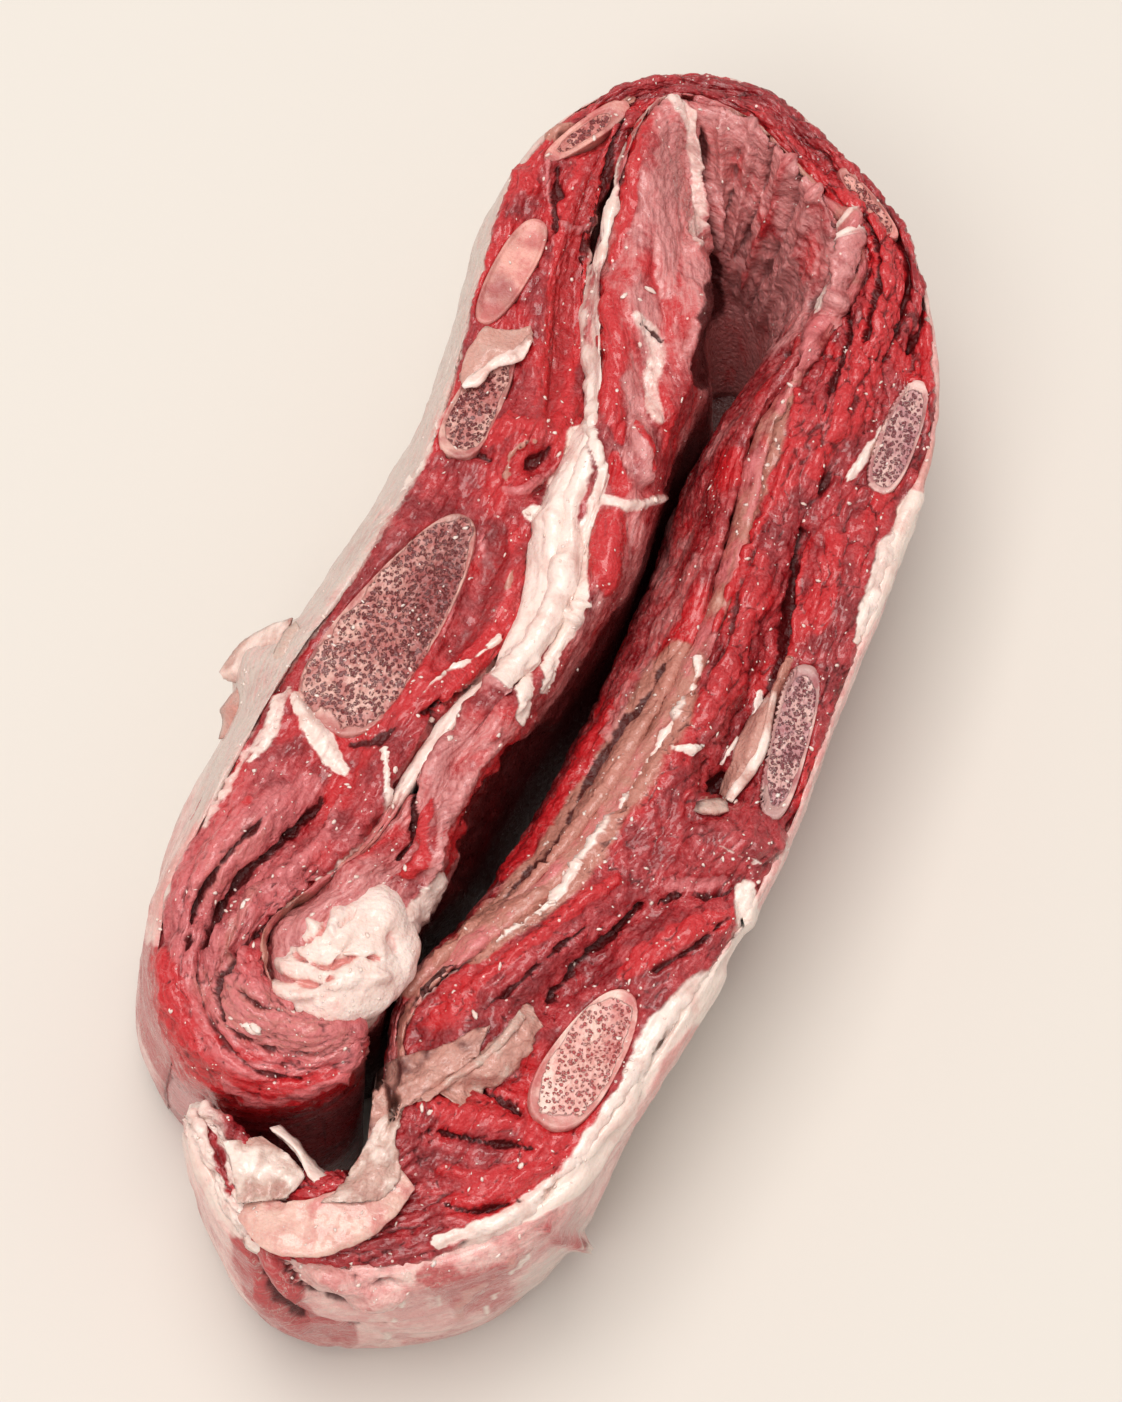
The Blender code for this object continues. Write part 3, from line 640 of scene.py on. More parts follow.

# Letters of the layers: R rib muscle, I inner muscle, S seam fat, C outer fat, L lump
# Strokes that lay the dark red mask in furrows, crevices, clefts, pits, undercuts, recesses, below bones, in
# the curtain's depths and along the arm's margin by the slot paint shade there over the meat's own dark red
STROKES = tuple(Stroke(*row) for row in (
    # Upper left: recessed red muscle and the pale rim beside it
    ("recess", "R", ((600, 118), (590, 180), (575, 250), (565, 330), (555, 410)), 30, -2.0, BRIGHT, 0.9, 24),
    ("recess dark edge", "RS", ((622, 112), (612, 170), (602, 225), (590, 262)), 7, -1.5, DEEP, 0.8, 5),
    ("recess furrow", "R", ((560, 160), (555, 195), (552, 230)), 5, -1.5, DEEP, 0.7),
    ("flake beside furrow", "R", ((548, 160), (547, 185), (553, 210)), 4, 1.2, FILM, 0.8),
    ("pale strip above recess", "R", ((505, 150), (540, 118), (585, 92), (630, 76)), 15, 0.6, TAN, 0.9, 8),
    ("cream line above recess", "R", ((530, 148), (565, 132), (600, 114), (630, 100)), 5, 1.0, TAN, 1.0, 4),
    ("recess shelf", "R", ((560, 222), (585, 226), (608, 218)), 4, 1.0, FILM, 0.7),
    ("granules", "R", ((492, 160), (515, 172), (535, 190)), 14, 1.2, BRIGHT, 0.9, 9),
    ("dark nick", "R", ((489, 165), (497, 182)), 4, -2.0, DEEP, 0.9),
    ("rim of the inner muscle", "IS", ((628, 128), (618, 165), (612, 205), (598, 240), (587, 268), (586, 320),
     (588, 370), (592, 410), (600, 450)), 4, 0.9, FAT, 0.8, 3),
    ("cream corner", "RIS", ((612, 205), (606, 235), (594, 268)), 7, 0.6, FAT, 0.8, 5),
    ("bright band inside the rim", "I", ((640, 120), (634, 165), (628, 215), (612, 262)), 10, 0.8, BRIGHT,
     0.9, 8),
    ("bright field", "I", ((605, 300), (612, 350), (610, 400), (618, 440)), 16, 0.5, BRIGHT, 0.7, 12),
    ("film field", "I", ((672, 110), (672, 170), (668, 230), (665, 290)), 24, 0.8, FILM, 0.85, 18),
    ("inner lobe", "I", ((690, 250), (706, 300), (690, 350)), 15, 2.0, FILM, 0.6, 10),
    ("white patch on the arm", "I", ((636, 318), (655, 350), (650, 385), (656, 420)), 16, 0.6, FAT, 0.55, 12),
    ("white streak on the arm", "I", ((668, 90), (690, 140), (694, 200), (690, 250)), 10, 0.5, FAT, 0.55, 6),
    ("dark slit", "I", ((638, 325), (650, 333), (662, 342)), 2.4, -1.2, DEEP, 0.9),
    # The curtain of folds in the upper bend
    ("curtain film", "I", ((700, 100), (740, 120), (780, 150), (815, 190)), 45, 0.0, FILM, 0.8, 30),
    ("curtain red top", "I", ((708, 84), (745, 92), (780, 108), (805, 128)), 9, 0.4, BRIGHT, 0.8, 6),
    ("curtain fold 1", "I", ((688, 115), (695, 160), (700, 215), (704, 262)), 6, 1.8, FILM, 0.9, 4),
    ("curtain furrow 1", "I", ((702, 130), (706, 175), (708, 225), (708, 280)), 5, -2.6, DEEP, 0.6, 6),
    ("curtain fold 2", "I", ((722, 110), (722, 160), (718, 210), (714, 250)), 6, 1.8, FILM, 0.9, 4),
    ("curtain furrow 2", "I", ((738, 150), (732, 195), (722, 240)), 3.5, -2.0, DEEP, 0.5),
    ("curtain fold 3", "I", ((752, 120), (748, 170), (738, 215), (726, 255)), 6, 1.6, FILM, 0.9, 4),
    ("curtain furrow 3", "I", ((772, 140), (764, 185), (748, 230), (734, 262)), 3.5, -1.8, DEEP, 0.55),
    ("curtain fold 4", "I", ((790, 150), (780, 195), (762, 240), (742, 285)), 7, 1.5, BRIGHT, 0.5, 5),
    ("curtain furrow 4", "I", ((800, 175), (790, 215), (770, 262), (748, 310)), 4, -1.6, DEEP, 0.5),
    ("curtain fold 5", "I", ((815, 190), (805, 235), (785, 280), (758, 330)), 8, 1.6, FILM, 0.5, 6),
    ("curtain depth", "I", ((712, 260), (712, 320), (704, 380)), 14, -2.0, DEEP, 0.95, 18),
    ("curtain grey", "I", ((705, 235), (718, 265), (728, 320)), 10, 0.0, FILM, 0.7, 7),
    # Rolled lip of the right arm
    ("rolled lip", "IS", ((800, 115), (828, 150), (848, 205), (850, 245), (838, 290), (822, 330), (800, 372),
     (785, 400)), 7, 2.6, FILM, 0.95, 5),
    ("lip fat", "IS", ((846, 215), (842, 255), (830, 292), (815, 325)), 4.5, 0.6, FAT, 0.6),
    ("lip undercut", "I", ((836, 205), (838, 240), (824, 280), (800, 330), (775, 372)), 4, -1.6, DEEP, 0.6),
    # Left arm: mound, pit and white band
    ("red mound", "R", ((490, 438), (512, 425), (530, 428)), 15, 1.0, BRIGHT, 0.9, 12),
    ("mound furrow", "R", ((448, 455), (470, 452), (492, 462)), 4, -1.5, DEEP, 0.7),
    ("pit", "R", ((528, 465), (540, 458), (550, 448)), 11, -1.5, DEEP, 0.65, 8),
    ("pale rim of the pit", "R", ((506, 478), (512, 455), (528, 440), (545, 442)), 4, 1.2, TAN, 0.95, 3),
    ("pit lower rim", "RS", ((500, 490), (520, 492), (535, 482), (552, 468), (562, 452)), 4, 1.0, FILM, 0.9),
    ("white band", "RIS", ((578, 440), (572, 475), (560, 505), (556, 540), (564, 575), (560, 605), (536, 640),
     (504, 680)), 26, 1.4, FAT, 1.0, 15),
    ("white band inner side", "IS", ((600, 480), (590, 520), (582, 560), (578, 600), (560, 640), (540, 690)),
     14, 0.4, FAT, 0.85, 8),
    ("white band corner", "RS", ((526, 512), (542, 518), (556, 520)), 11, 1.0, FAT, 1.0),
    ("band crease", "IS", ((568, 508), (566, 530), (562, 555)), 2.5, -0.8, BRIGHT, 0.6),
    ("yellow end of the band", "IS", ((532, 660), (522, 700), (520, 722)), 9, 0.6, FAT, 0.9, 7),
    ("strip of fat", "I", ((588, 395), (594, 430), (600, 470), (600, 500)), 5, 0.9, FAT, 0.8, 6),
    ("lobe with red core", "I", ((632, 425), (644, 450), (645, 480)), 13, 1.8, FILM, 0.75, 10),
    ("red core", "I", ((640, 432), (648, 452), (646, 472)), 4.5, 0.2, BRIGHT, 0.95),
    ("pale lobe foot", "I", ((600, 500), (622, 506), (640, 505), (656, 498), (662, 494)), 9, 1.0, FAT, 0.62,
     6),
    ("red wedge", "I", ((612, 455), (618, 478), (622, 492)), 9, -0.3, BRIGHT, 0.9),
    ("red lobe", "I", ((612, 520), (604, 555), (606, 590)), 19, 1.6, BRIGHT, 0.9, 13),
    ("red lobe film", "I", ((632, 520), (636, 545)), 11, 0.2, FILM, 0.7),
    ("knob 1", "IS", ((589, 604), (577, 608)), 5, 1.8, FAT, 0.9),
    ("knob 2", "IS", ((560, 614), (572, 618)), 6, 1.6, FAT, 0.9),
    # Muscle between the longest bone and the band
    ("glossy muscle", "R", ((470, 520), (485, 560), (470, 620), (440, 665)), 26, -1.0, FILM, 0.42, 18),
    ("glossy muscle shade", "R", ((500, 530), (495, 575), (480, 620), (452, 655)), 22, -0.4, DEEP, 0.5, 14),
    ("muscle thread 1", "R", ((482, 515), (486, 545), (492, 570)), 1.6, 0.5, FILM, 0.9),
    ("muscle thread 2", "R", ((462, 560), (456, 600), (440, 640)), 1.5, 0.4, FILM, 0.7),
    ("muscle patch", "R", ((512, 572), (508, 585)), 5, 0.4, TAN, 0.8),
    ("red edge by the band", "R", ((535, 540), (536, 580), (520, 615), (495, 645)), 8, 0.8, BRIGHT, 0.95, 6),
    ("white line", "RS", ((495, 640), (470, 662), (440, 678), (425, 692)), 5, 1.2, FAT, 0.9, 3),
    ("furrow below the line", "RS", ((500, 655), (478, 680), (450, 702), (424, 712)), 3, -1.6, DEEP, 0.7),
    ("oval muscle", "RIS", ((470, 715), (490, 705), (505, 695)), 24, 1.6, FILM, 0.35, 18),
    ("oval muscle edge", "RI", ((462, 690), (480, 682), (498, 688), (508, 700)), 3.5, 0.8, FILM, 0.9),
    ("oval shade", "R", ((440, 700), (436, 722), (446, 745)), 4, -1.8, DEEP, 0.7),
    # Below the longest bone
    ("tendon", "R", ((300, 700), (312, 728), (330, 755), (345, 775)), 15, 1.2, FAT, 0.95, 10),
    ("tendon tail", "R", ((280, 700), (272, 730), (250, 765)), 9, 0.6, FAT, 0.6, 6),
    ("red below the bone", "R", ((350, 745), (370, 742), (395, 728)), 6, -0.8, DEEP, 0.7),
    ("white streak", "R", ((385, 752), (386, 790), (378, 830), (345, 858), (318, 880)), 6, 1.0, FAT, 0.85, 5),
    ("red curl", "RI", ((432, 800), (426, 826), (424, 856), (408, 874), (396, 878)), 7, 1.8, BRIGHT, 1.0, 6),
    ("curl loop", "R", ((420, 772), (428, 786), (420, 800), (410, 790), (416, 776)), 4, 1.2, FILM, 0.9),
    ("curl pale band", "RI", ((450, 785), (441, 828), (436, 858), (422, 886)), 4.5, 0.8, FILM, 0.9),
    ("lump reach", "RIS", ((438, 876), (426, 896), (411, 919), (398, 942)), 12, 1.6, FAT, 1.0, 10),
    ("lump crown", "R", ((330, 890), (352, 874), (380, 868), (404, 880)), 12, 1.6, FAT, 1.0, 9),
    ("curl furrow", "RI", ((410, 775), (415, 810), (412, 840), (398, 858)), 5, -1.8, DEEP, 0.9, 3),
    ("arm edge film", "RI", ((500, 745), (478, 768), (460, 795), (446, 830), (436, 862)), 6, 0.8, FILM, 0.7,
     4),
    ("arm margin red", "I", ((520, 745), (492, 778), (472, 812), (458, 846), (446, 872)), 12, -1.2, BRIGHT,
     1.0, 7),
    ("arm margin dark", "I", ((545, 735), (518, 775), (492, 815), (476, 850), (462, 880)), 20, -2.6, DEEP,
     1.0, 16),
    ("dark cleft", "R", ((392, 780), (396, 810), (390, 840)), 4, -1.6, DEEP, 0.8),
    # The rolled end
    ("end furrow 1", "R", ((322, 800), (290, 838), (252, 868), (222, 905), (205, 945)), 6, -2.4, DEEP, 0.9,
     5),
    ("end ridge 1", "R", ((345, 800), (318, 850), (280, 880), (246, 912), (232, 950)), 8, 1.6, FILM, 0.6, 7),
    ("end furrow 2", "R", ((300, 905), (270, 925), (240, 950), (222, 985), (225, 1020)), 5, -2.0, DEEP, 0.8,
     4),
    ("end red 1", "R", ((250, 800), (215, 850), (190, 900)), 8, 0.9, BRIGHT, 0.9, 8),
    ("end furrow 3", "R", ((262, 820), (222, 862), (198, 905), (186, 945)), 4, -2.0, DEEP, 0.9, 4),
    ("end pale edge", "RC", ((290, 690), (262, 735), (232, 780), (205, 830)), 7, 0.5, FAT, 0.55, 5),
    ("end grey lobe", "R", ((258, 905), (245, 935), (242, 965)), 9, 1.2, FILM, 0.7, 7),
    ("end film", "RI", ((205, 985), (245, 1012), (290, 1030), (338, 1042)), 44, 0.6, FILM, 0.95, 36),
    ("end film left", "RI", ((222, 930), (214, 965), (222, 1000)), 12, 0.8, FILM, 0.85, 8),
    ("end film low crease", "RI", ((232, 1030), (270, 1050), (320, 1052)), 3, -1.4, DEEP, 0.6),
    ("end film tone", "RI", ((205, 985), (245, 1012), (290, 1030), (338, 1042)), 40, 0.0, TAN, 0.62, 32),
    ("end tone upper", "RI", ((240, 1000), (225, 960), (238, 920), (270, 880)), 12, 0.0, TAN, 0.55, 9),
    ("end film crease", "RI", ((240, 992), (262, 1006), (300, 1010)), 3, -1.4, DEEP, 0.6),
    ("end film low", "RI", ((200, 1045), (240, 1066), (290, 1070), (330, 1058)), 14, 0.8, FILM, 0.8, 10),
    ("end rim furrow", "R", ((198, 960), (202, 1000), (225, 1045), (262, 1072), (300, 1078)), 3.5, -1.5, DEEP,
     0.6),
    ("end rim red", "R", ((162, 960), (168, 1020), (192, 1064), (235, 1092), (290, 1096), (345, 1076)), 26,
     0.8, BRIGHT, 0.9, 22),
    ("end rim without fat", "R", ((160, 940), (164, 1020), (190, 1070), (235, 1100), (295, 1102),
     (352, 1078)), 44, 0.0, FAT, -1.0),
    ("end rim pale", "R", ((225, 1078), (255, 1098), (300, 1092), (340, 1072)), 7, 0.4, FILM, 0.8, 6),
    ("end cover red", "C", ((152, 960), (162, 1030), (192, 1084), (250, 1106), (310, 1098), (350, 1070)), 26,
     0.0, BRIGHT, 1.0, 22),
    ("end cover bare", "C", ((152, 960), (162, 1030), (192, 1084), (250, 1106), (310, 1098), (350, 1070)), 28,
     0.0, TAN, -1.0, 24),
    ("end cover fat off", "C", ((152, 960), (162, 1030), (192, 1084), (250, 1106), (310, 1098), (350, 1070)),
     28, 0.0, FAT, -1.0, 24),
    ("end cover clear", "C", ((152, 960), (162, 1030), (192, 1084), (250, 1106), (310, 1098), (350, 1070)),
     26, 0.0, FILM, -1.0, 22),
    ("bend bare", "C", ((236, 1215), (262, 1285), (310, 1322), (380, 1335), (450, 1330)), 62, 0.0, TAN, -0.9),
    ("bend film off", "C", ((236, 1215), (262, 1285), (310, 1322), (380, 1335)), 52, 0.0, FILM, -1.0, 40),
    ("bend dark left", "C", ((244, 1225), (262, 1282), (298, 1322), (345, 1335)), 27, 0.0, BRIGHT, 1.0, 18),
    ("bend lobe 1", "C", ((262, 1240), (278, 1270), (300, 1292)), 9, 2.0, BRIGHT, 1.0),
    ("bend crevice 1", "C", ((252, 1255), (272, 1288), (304, 1316)), 5, -2.2, DEEP, 0.75),
    ("bend lobe 2", "C", ((258, 1285), (280, 1312), (310, 1328)), 8, 1.8, BRIGHT, 1.0),
    ("bend crevice 2", "C", ((285, 1262), (305, 1288), (340, 1302), (372, 1310)), 4.5, -2.0, DEEP, 0.7),
    ("bend brown", "C", ((320, 1275), (360, 1288), (400, 1312)), 26, 0.3, TAN, 0.5, 20),
    ("bend lobe 3", "C", ((315, 1270), (345, 1282), (378, 1290)), 9, 1.8, TAN, 0.5),
    ("bend crevice 3", "C", ((345, 1266), (362, 1282), (392, 1282)), 4, -1.8, DEEP, 0.6),
    ("bend lobe 4", "C", ((352, 1300), (380, 1300), (398, 1292)), 8, 1.6, TAN, 0.4),
    ("bend crevice 4", "C", ((318, 1318), (352, 1326), (392, 1325)), 3.5, -1.4, DEEP, 0.55),
    ("bend glints", "C", ((300, 1335), (340, 1340), (380, 1338)), 6, 0.8, FAT, 0.4),
    ("bend pink", "C", ((430, 1275), (470, 1290), (510, 1268)), 30, 0.0, BRIGHT, 0.6, 26),
    ("bend thread 1", "C", ((412, 1262), (404, 1290), (388, 1335)), 2.2, 0.6, FAT, 0.8),
    ("bend thread 2", "C", ((424, 1262), (440, 1290), (432, 1320)), 1.8, 0.4, FAT, 0.6),
    ("bend line", "C", ((520, 1245), (490, 1282), (462, 1300), (452, 1338)), 3.2, 0.9, TAN, 0.9),
    ("bend line edge", "C", ((530, 1250), (500, 1288), (478, 1320)), 2, 0.5, FAT, 0.7),
    ("bend purple", "C", ((300, 1270), (350, 1292), (400, 1300), (430, 1285)), 24, 0.0, BRIGHT, 0.42, 20),
    ("bend film", "C", ((520, 1290), (560, 1262), (600, 1215)), 20, 0.3, FILM, 0.6, 18),
    ("bend fold", "C", ((545, 1225), (562, 1240), (590, 1238)), 6, 1.4, BRIGHT, 0.6),
    ("nub", "C", ((575, 1240), (588, 1246)), 5, 1.8, FAT, 0.7),
    ("arm end film", "R", ((305, 790), (262, 828), (228, 862), (198, 905), (182, 950)), 34, 0.4, FILM, 0.8,
     26),
    ("arm end tone", "R", ((262, 828), (228, 862), (200, 900)), 30, 0.0, TAN, 0.5, 22),
    ("rim membrane", "RC", ((186, 1096), (204, 1140), (222, 1180), (240, 1226)), 34, 0.5, FAT, 0.62, 30),
    ("rim membrane crease", "RC", ((200, 1110), (216, 1150), (230, 1190)), 4, -1.2, FAT, -0.9),
    ("low fat streak 1", "RC", ((738, 905), (740, 940), (716, 975)), 6, -1.0, FAT, -0.85),
    ("low fat streak 2", "RC", ((688, 1010), (660, 1045), (640, 1092)), 6, -1.0, FAT, -0.85),
    ("low fat streak 3", "RC", ((616, 1132), (585, 1168), (535, 1202)), 6, -1.0, FAT, -0.85),
    ("low fat streak 4", "RC", ((560, 1165), (520, 1196), (470, 1216)), 5, -1.0, FAT, -0.8),
    ("recess tone", "R", ((600, 118), (590, 180), (575, 250), (565, 330), (555, 400)), 26, -0.5, DEEP, 0.46,
     20),
    ("end fleck", "R", ((250, 1024), (260, 1031)), 4.5, 1.0, FAT, 1.0),
    ("pale lobe below the lump", "R", ((362, 1010), (352, 1045), (340, 1075)), 12, 1.2, FILM, 0.8, 10),
    # Right arm: coarse rib muscle
    ("coarse crevice 1", "R", ((865, 215), (880, 262), (872, 310), (862, 350)), 3.5, -2.0, DEEP, 0.8),
    ("coarse crevice 2", "R", ((895, 230), (908, 270), (902, 318), (885, 360)), 3.5, -2.0, DEEP, 0.7),
    ("coarse crevice 3", "R", ((838, 290), (850, 330), (835, 375), (822, 420)), 3.5, -1.8, DEEP, 0.8),
    ("coarse crevice 4", "R", ((925, 300), (920, 330), (908, 352)), 3, -1.8, DEEP, 0.8),
    ("coarse red", "R", ((850, 200), (878, 240), (890, 290), (870, 350), (845, 410), (815, 470)), 26, 0.4,
     BRIGHT, 0.8, 20),
    ("edge fat top right", "RC", ((905, 205), (925, 235), (930, 270)), 6, 0.4, FAT, 0.8, 3),
    ("wedge", "R", ((888, 425), (868, 452), (848, 480)), 7, 1.2, FAT, 0.7, 5),
    ("wedge furrow", "R", ((850, 440), (836, 462), (822, 490)), 3, -1.6, DEEP, 0.8),
    ("fold", "R", ((868, 492), (850, 500), (832, 520), (818, 545)), 8, 1.2, BRIGHT, 0.5, 6),
    ("long groove", "R", ((802, 530), (792, 590), (782, 640), (768, 690), (742, 735)), 6, -2.8, DEEP, 1.0, 7),
    ("groove edge", "R", ((812, 540), (800, 590), (796, 640)), 5, 1.0, BRIGHT, 0.8, 4),
    ("red field by the groove", "R", ((835, 540), (828, 590), (820, 630)), 16, 0.2, BRIGHT, 0.7, 10),
    ("white outer fat", "RC", ((915, 500), (902, 535), (886, 562), (872, 600), (856, 640)), 20, 0.8, FAT, 1.0,
     10),
    ("outer fat pink", "C", ((935, 445), (920, 500), (905, 560)), 12, 0.0, TAN, 0.6, 8),
    # Middle muscle of the right arm and its sheets
    ("middle muscle", "R", ((760, 560), (742, 620), (725, 680), (680, 740), (640, 800), (580, 870)), 24, 0.8,
     BRIGHT, 0.55, 16),
    ("middle crevice", "R", ((770, 520), (742, 585), (728, 640), (700, 690)), 3, -1.4, DEEP, 0.6),
    ("tan sheet upper", "SIR", ((792, 392), (776, 440), (756, 495), (742, 545), (726, 590)), 15, 0.3, TAN,
     0.62, 8),
    ("tan patch upper", "SIR", ((798, 378), (788, 400), (778, 425)), 9, 0.5, TAN, 0.9, 7),
    ("red sheet edge", "SIR", ((800, 380), (795, 430), (782, 480), (760, 530), (735, 580), (715, 630)), 5,
     0.8, BRIGHT, 0.9, 4),
    ("tan sheet lower", "SIR", ((682, 665), (664, 705), (640, 745), (600, 800), (574, 848), (532, 896),
     (475, 945)), 42, 0.3, TAN, 1.0, 34),
    ("tan sheet low film", "SIR", ((640, 745), (600, 800), (574, 848), (532, 896), (475, 945)), 22, 0.5, FILM,
     0.35),
    ("tan sheet edge", "SIR", ((700, 660), (690, 700), (656, 752), (624, 806), (594, 852), (556, 900),
     (500, 944)), 3.5, 1.0, FAT, 0.8),
    ("sheet furrow", "SIR", ((668, 662), (640, 706), (608, 750), (580, 802), (550, 852), (505, 900)), 4, -1.8,
     DEEP, 0.95),
    ("red beside the sheet", "I", ((640, 680), (606, 728), (574, 780), (544, 830), (505, 880)), 12, 1.0,
     BRIGHT, 0.9, 8),
    ("wall film", "I", ((700, 560), (672, 620), (640, 680), (610, 740)), 12, 0.5, FILM, 0.55, 9),
    ("pale cross line", "R", ((655, 748), (680, 752), (705, 745)), 3.5, 1.0, FAT, 0.8),
    ("fascia flap", "R", ((790, 660), (775, 700), (758, 745), (735, 785)), 10, 1.6, TAN, 0.9, 8),
    ("fascia edge", "R", ((762, 690), (745, 730), (722, 762)), 2.6, 0.8, FAT, 0.85),
    ("dark pit", "R", ((722, 775), (715, 790)), 8, -3.0, DEEP, 1.0),
    ("pit lip", "R", ((700, 800), (715, 808), (735, 800)), 4, 1.0, TAN, 0.9),
    ("smooth red lobe", "R", ((690, 840), (725, 835), (760, 850), (790, 845)), 17, 1.2, FILM, 0.4, 13),
    ("lobe streak 1", "R", ((720, 845), (745, 858), (770, 862)), 2.4, 0.3, FAT, 0.6),
    ("bruise", "R", ((668, 888), (695, 885), (722, 880)), 9, -0.6, FILM, 0.8, 7),
    ("crease", "R", ((655, 905), (680, 895), (720, 895), (745, 880)), 3, -1.6, DEEP, 0.7),
    ("lower muscle", "R", ((735, 915), (690, 930), (650, 955), (625, 975)), 17, 0.8, BRIGHT, 0.7, 12),
    ("crevice by the low bone", "R", ((640, 905), (610, 935), (575, 968), (550, 1000)), 4, -2.2, DEEP, 0.9,
     5),
    ("crevice above the low bone", "R", ((655, 970), (690, 950), (720, 925)), 3, -1.4, DEEP, 0.7),
    ("red strip 1", "RIS", ((615, 880), (580, 905), (540, 935), (500, 968), (455, 1000)), 9, 1.2, BRIGHT, 0.9,
     8),
    ("strip furrow 1", "RIS", ((590, 925), (550, 955), (515, 985), (480, 1012)), 3, -1.6, DEEP, 0.8),
    ("pale strip", "IS", ((545, 895), (500, 920), (455, 950), (415, 985), (395, 1000)), 9, 1.0, TAN, 0.8, 9),
    ("strip furrow 2", "IS", ((535, 915), (495, 945), (450, 975), (410, 1005)), 3, -1.4, DEEP, 0.8),
    # Outer fat at the lower right
    ("low white fat", "CR", ((742, 890), (748, 930), (735, 965), (695, 1000), (655, 1040), (632, 1090)), 18,
     0.6, FAT, 1.0, 22),
    ("low white fat 2", "CR", ((632, 1090), (600, 1140), (570, 1180), (510, 1218), (440, 1240)), 24, 0.6, FAT,
     1.0, 11),
    ("pink side", "C", ((700, 1010), (675, 1070), (640, 1130)), 20, 0.0, TAN, 0.5, 20),
    # Lower interior
    ("lower red 1", "R", ((420, 1105), (470, 1115), (520, 1125)), 15, 1.4, BRIGHT, 0.7, 12),
    ("lower furrow 1", "R", ((430, 1130), (480, 1142), (530, 1148)), 4, -2.0, DEEP, 0.8),
    ("lower red 2", "R", ((440, 1170), (500, 1180), (555, 1165)), 15, 1.4, BRIGHT, 0.6, 10),
    ("lower furrow 2", "R", ((420, 1195), (470, 1210), (520, 1200)), 3.5, -1.6, DEEP, 0.7),
    ("lower furrow 3", "R", ((465, 1080), (500, 1098), (522, 1112)), 4, -2.0, DEEP, 0.8),
    ("membrane fold", "R", ((380, 1110), (420, 1085), (470, 1070), (520, 1075)), 8, 1.4, FILM, 0.9, 6),
    ("cavity", "R", ((330, 1120), (345, 1150), (350, 1175)), 16, -2.0, DEEP, 0.9, 12),
))


class Loop:
    """Plan coordinates that follow a layer: distance along the strip and around its outline."""

    def __init__(self, surface: Surface, run: np.ndarray) -> None:
        """Measure the surface, and store the coordinates as the grain of its fibres."""
        self.shape = surface.shape
        step = np.linalg.norm(np.diff(surface.points, axis=1), axis=2)
        around = np.concatenate([np.zeros((len(run), 1)), np.cumsum(step, axis=1)], axis=1)
        self.along = np.broadcast_to(run[:, None], around.shape).ravel()
        self.around = around.ravel()
        surface.grain = np.stack([np.broadcast_to(run[:, None], around.shape) / 10.0, around / 10.0,
                                  np.zeros_like(around)], axis=2)

    def at(self, long: float, wide: float, slant: float = 0.0) -> np.ndarray:
        """Noise coordinates with cells of the given length and width."""
        return np.stack([self.along / long + slant * self.around / wide, self.around / wide,
                         np.zeros_like(self.along)], axis=1)


def place(item: bpy.types.Object, material: bpy.types.Material, slot: Slot, *nodes: str) -> None:
    """Give a piece its finish, its body and the solids that it stands for."""
    item.data.materials.append(material)
    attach(item, "root")
    if nodes:
        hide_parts(*nodes)
        GROUND.add(item)
    LOG.info("%s: %d points", item.name, len(item.data.vertices))


@dataclass
class Layer:
    """A long layer of the strip, sculpted from noise and strokes."""

    strip: Strip
    seed: int = 1
    noise: Noise = field(init=False)

    def __post_init__(self) -> None:
        """Start the layer's own noise."""
        self.noise = Noise(self.seed)

    def drift(self, loop: Loop, long: float, wide: float, shift: float = 0.0, octaves: int = 4,
              gain: float = 0.5) -> np.ndarray:
        """Noise over the layer's grid, with cells of the given length and width."""
        return self.noise.fractal(loop.at(long, wide) + shift, octaves, gain).reshape(loop.shape)

    def warp(self, surface: Surface) -> np.ndarray:
        """Ragged shift of the strokes' edges, in picture units."""
        spots = np.column_stack([surface.spots / 16.0, np.full(len(surface.spots), self.seed)])
        return self.noise.fractal(spots, 4, 0.65) * 4.0

    def bundles(self, loop: Loop, long: float, wide: float, slant: float) -> tuple[np.ndarray, np.ndarray]:
        """Domes of the muscle's bundles and the clefts between them, from 0 to 1."""
        base = loop.at(long, wide, slant)
        bend = self.noise.fractal(loop.at(14, 12) + 3.1, 3) * 0.55
        first, second = (away.reshape(loop.shape) for away in self.noise.cells(base + bend[:, None]))
        return 1 - np.clip(first, 0, 1) ** 2, 1 - smooth(0.0, 0.22, second - first)


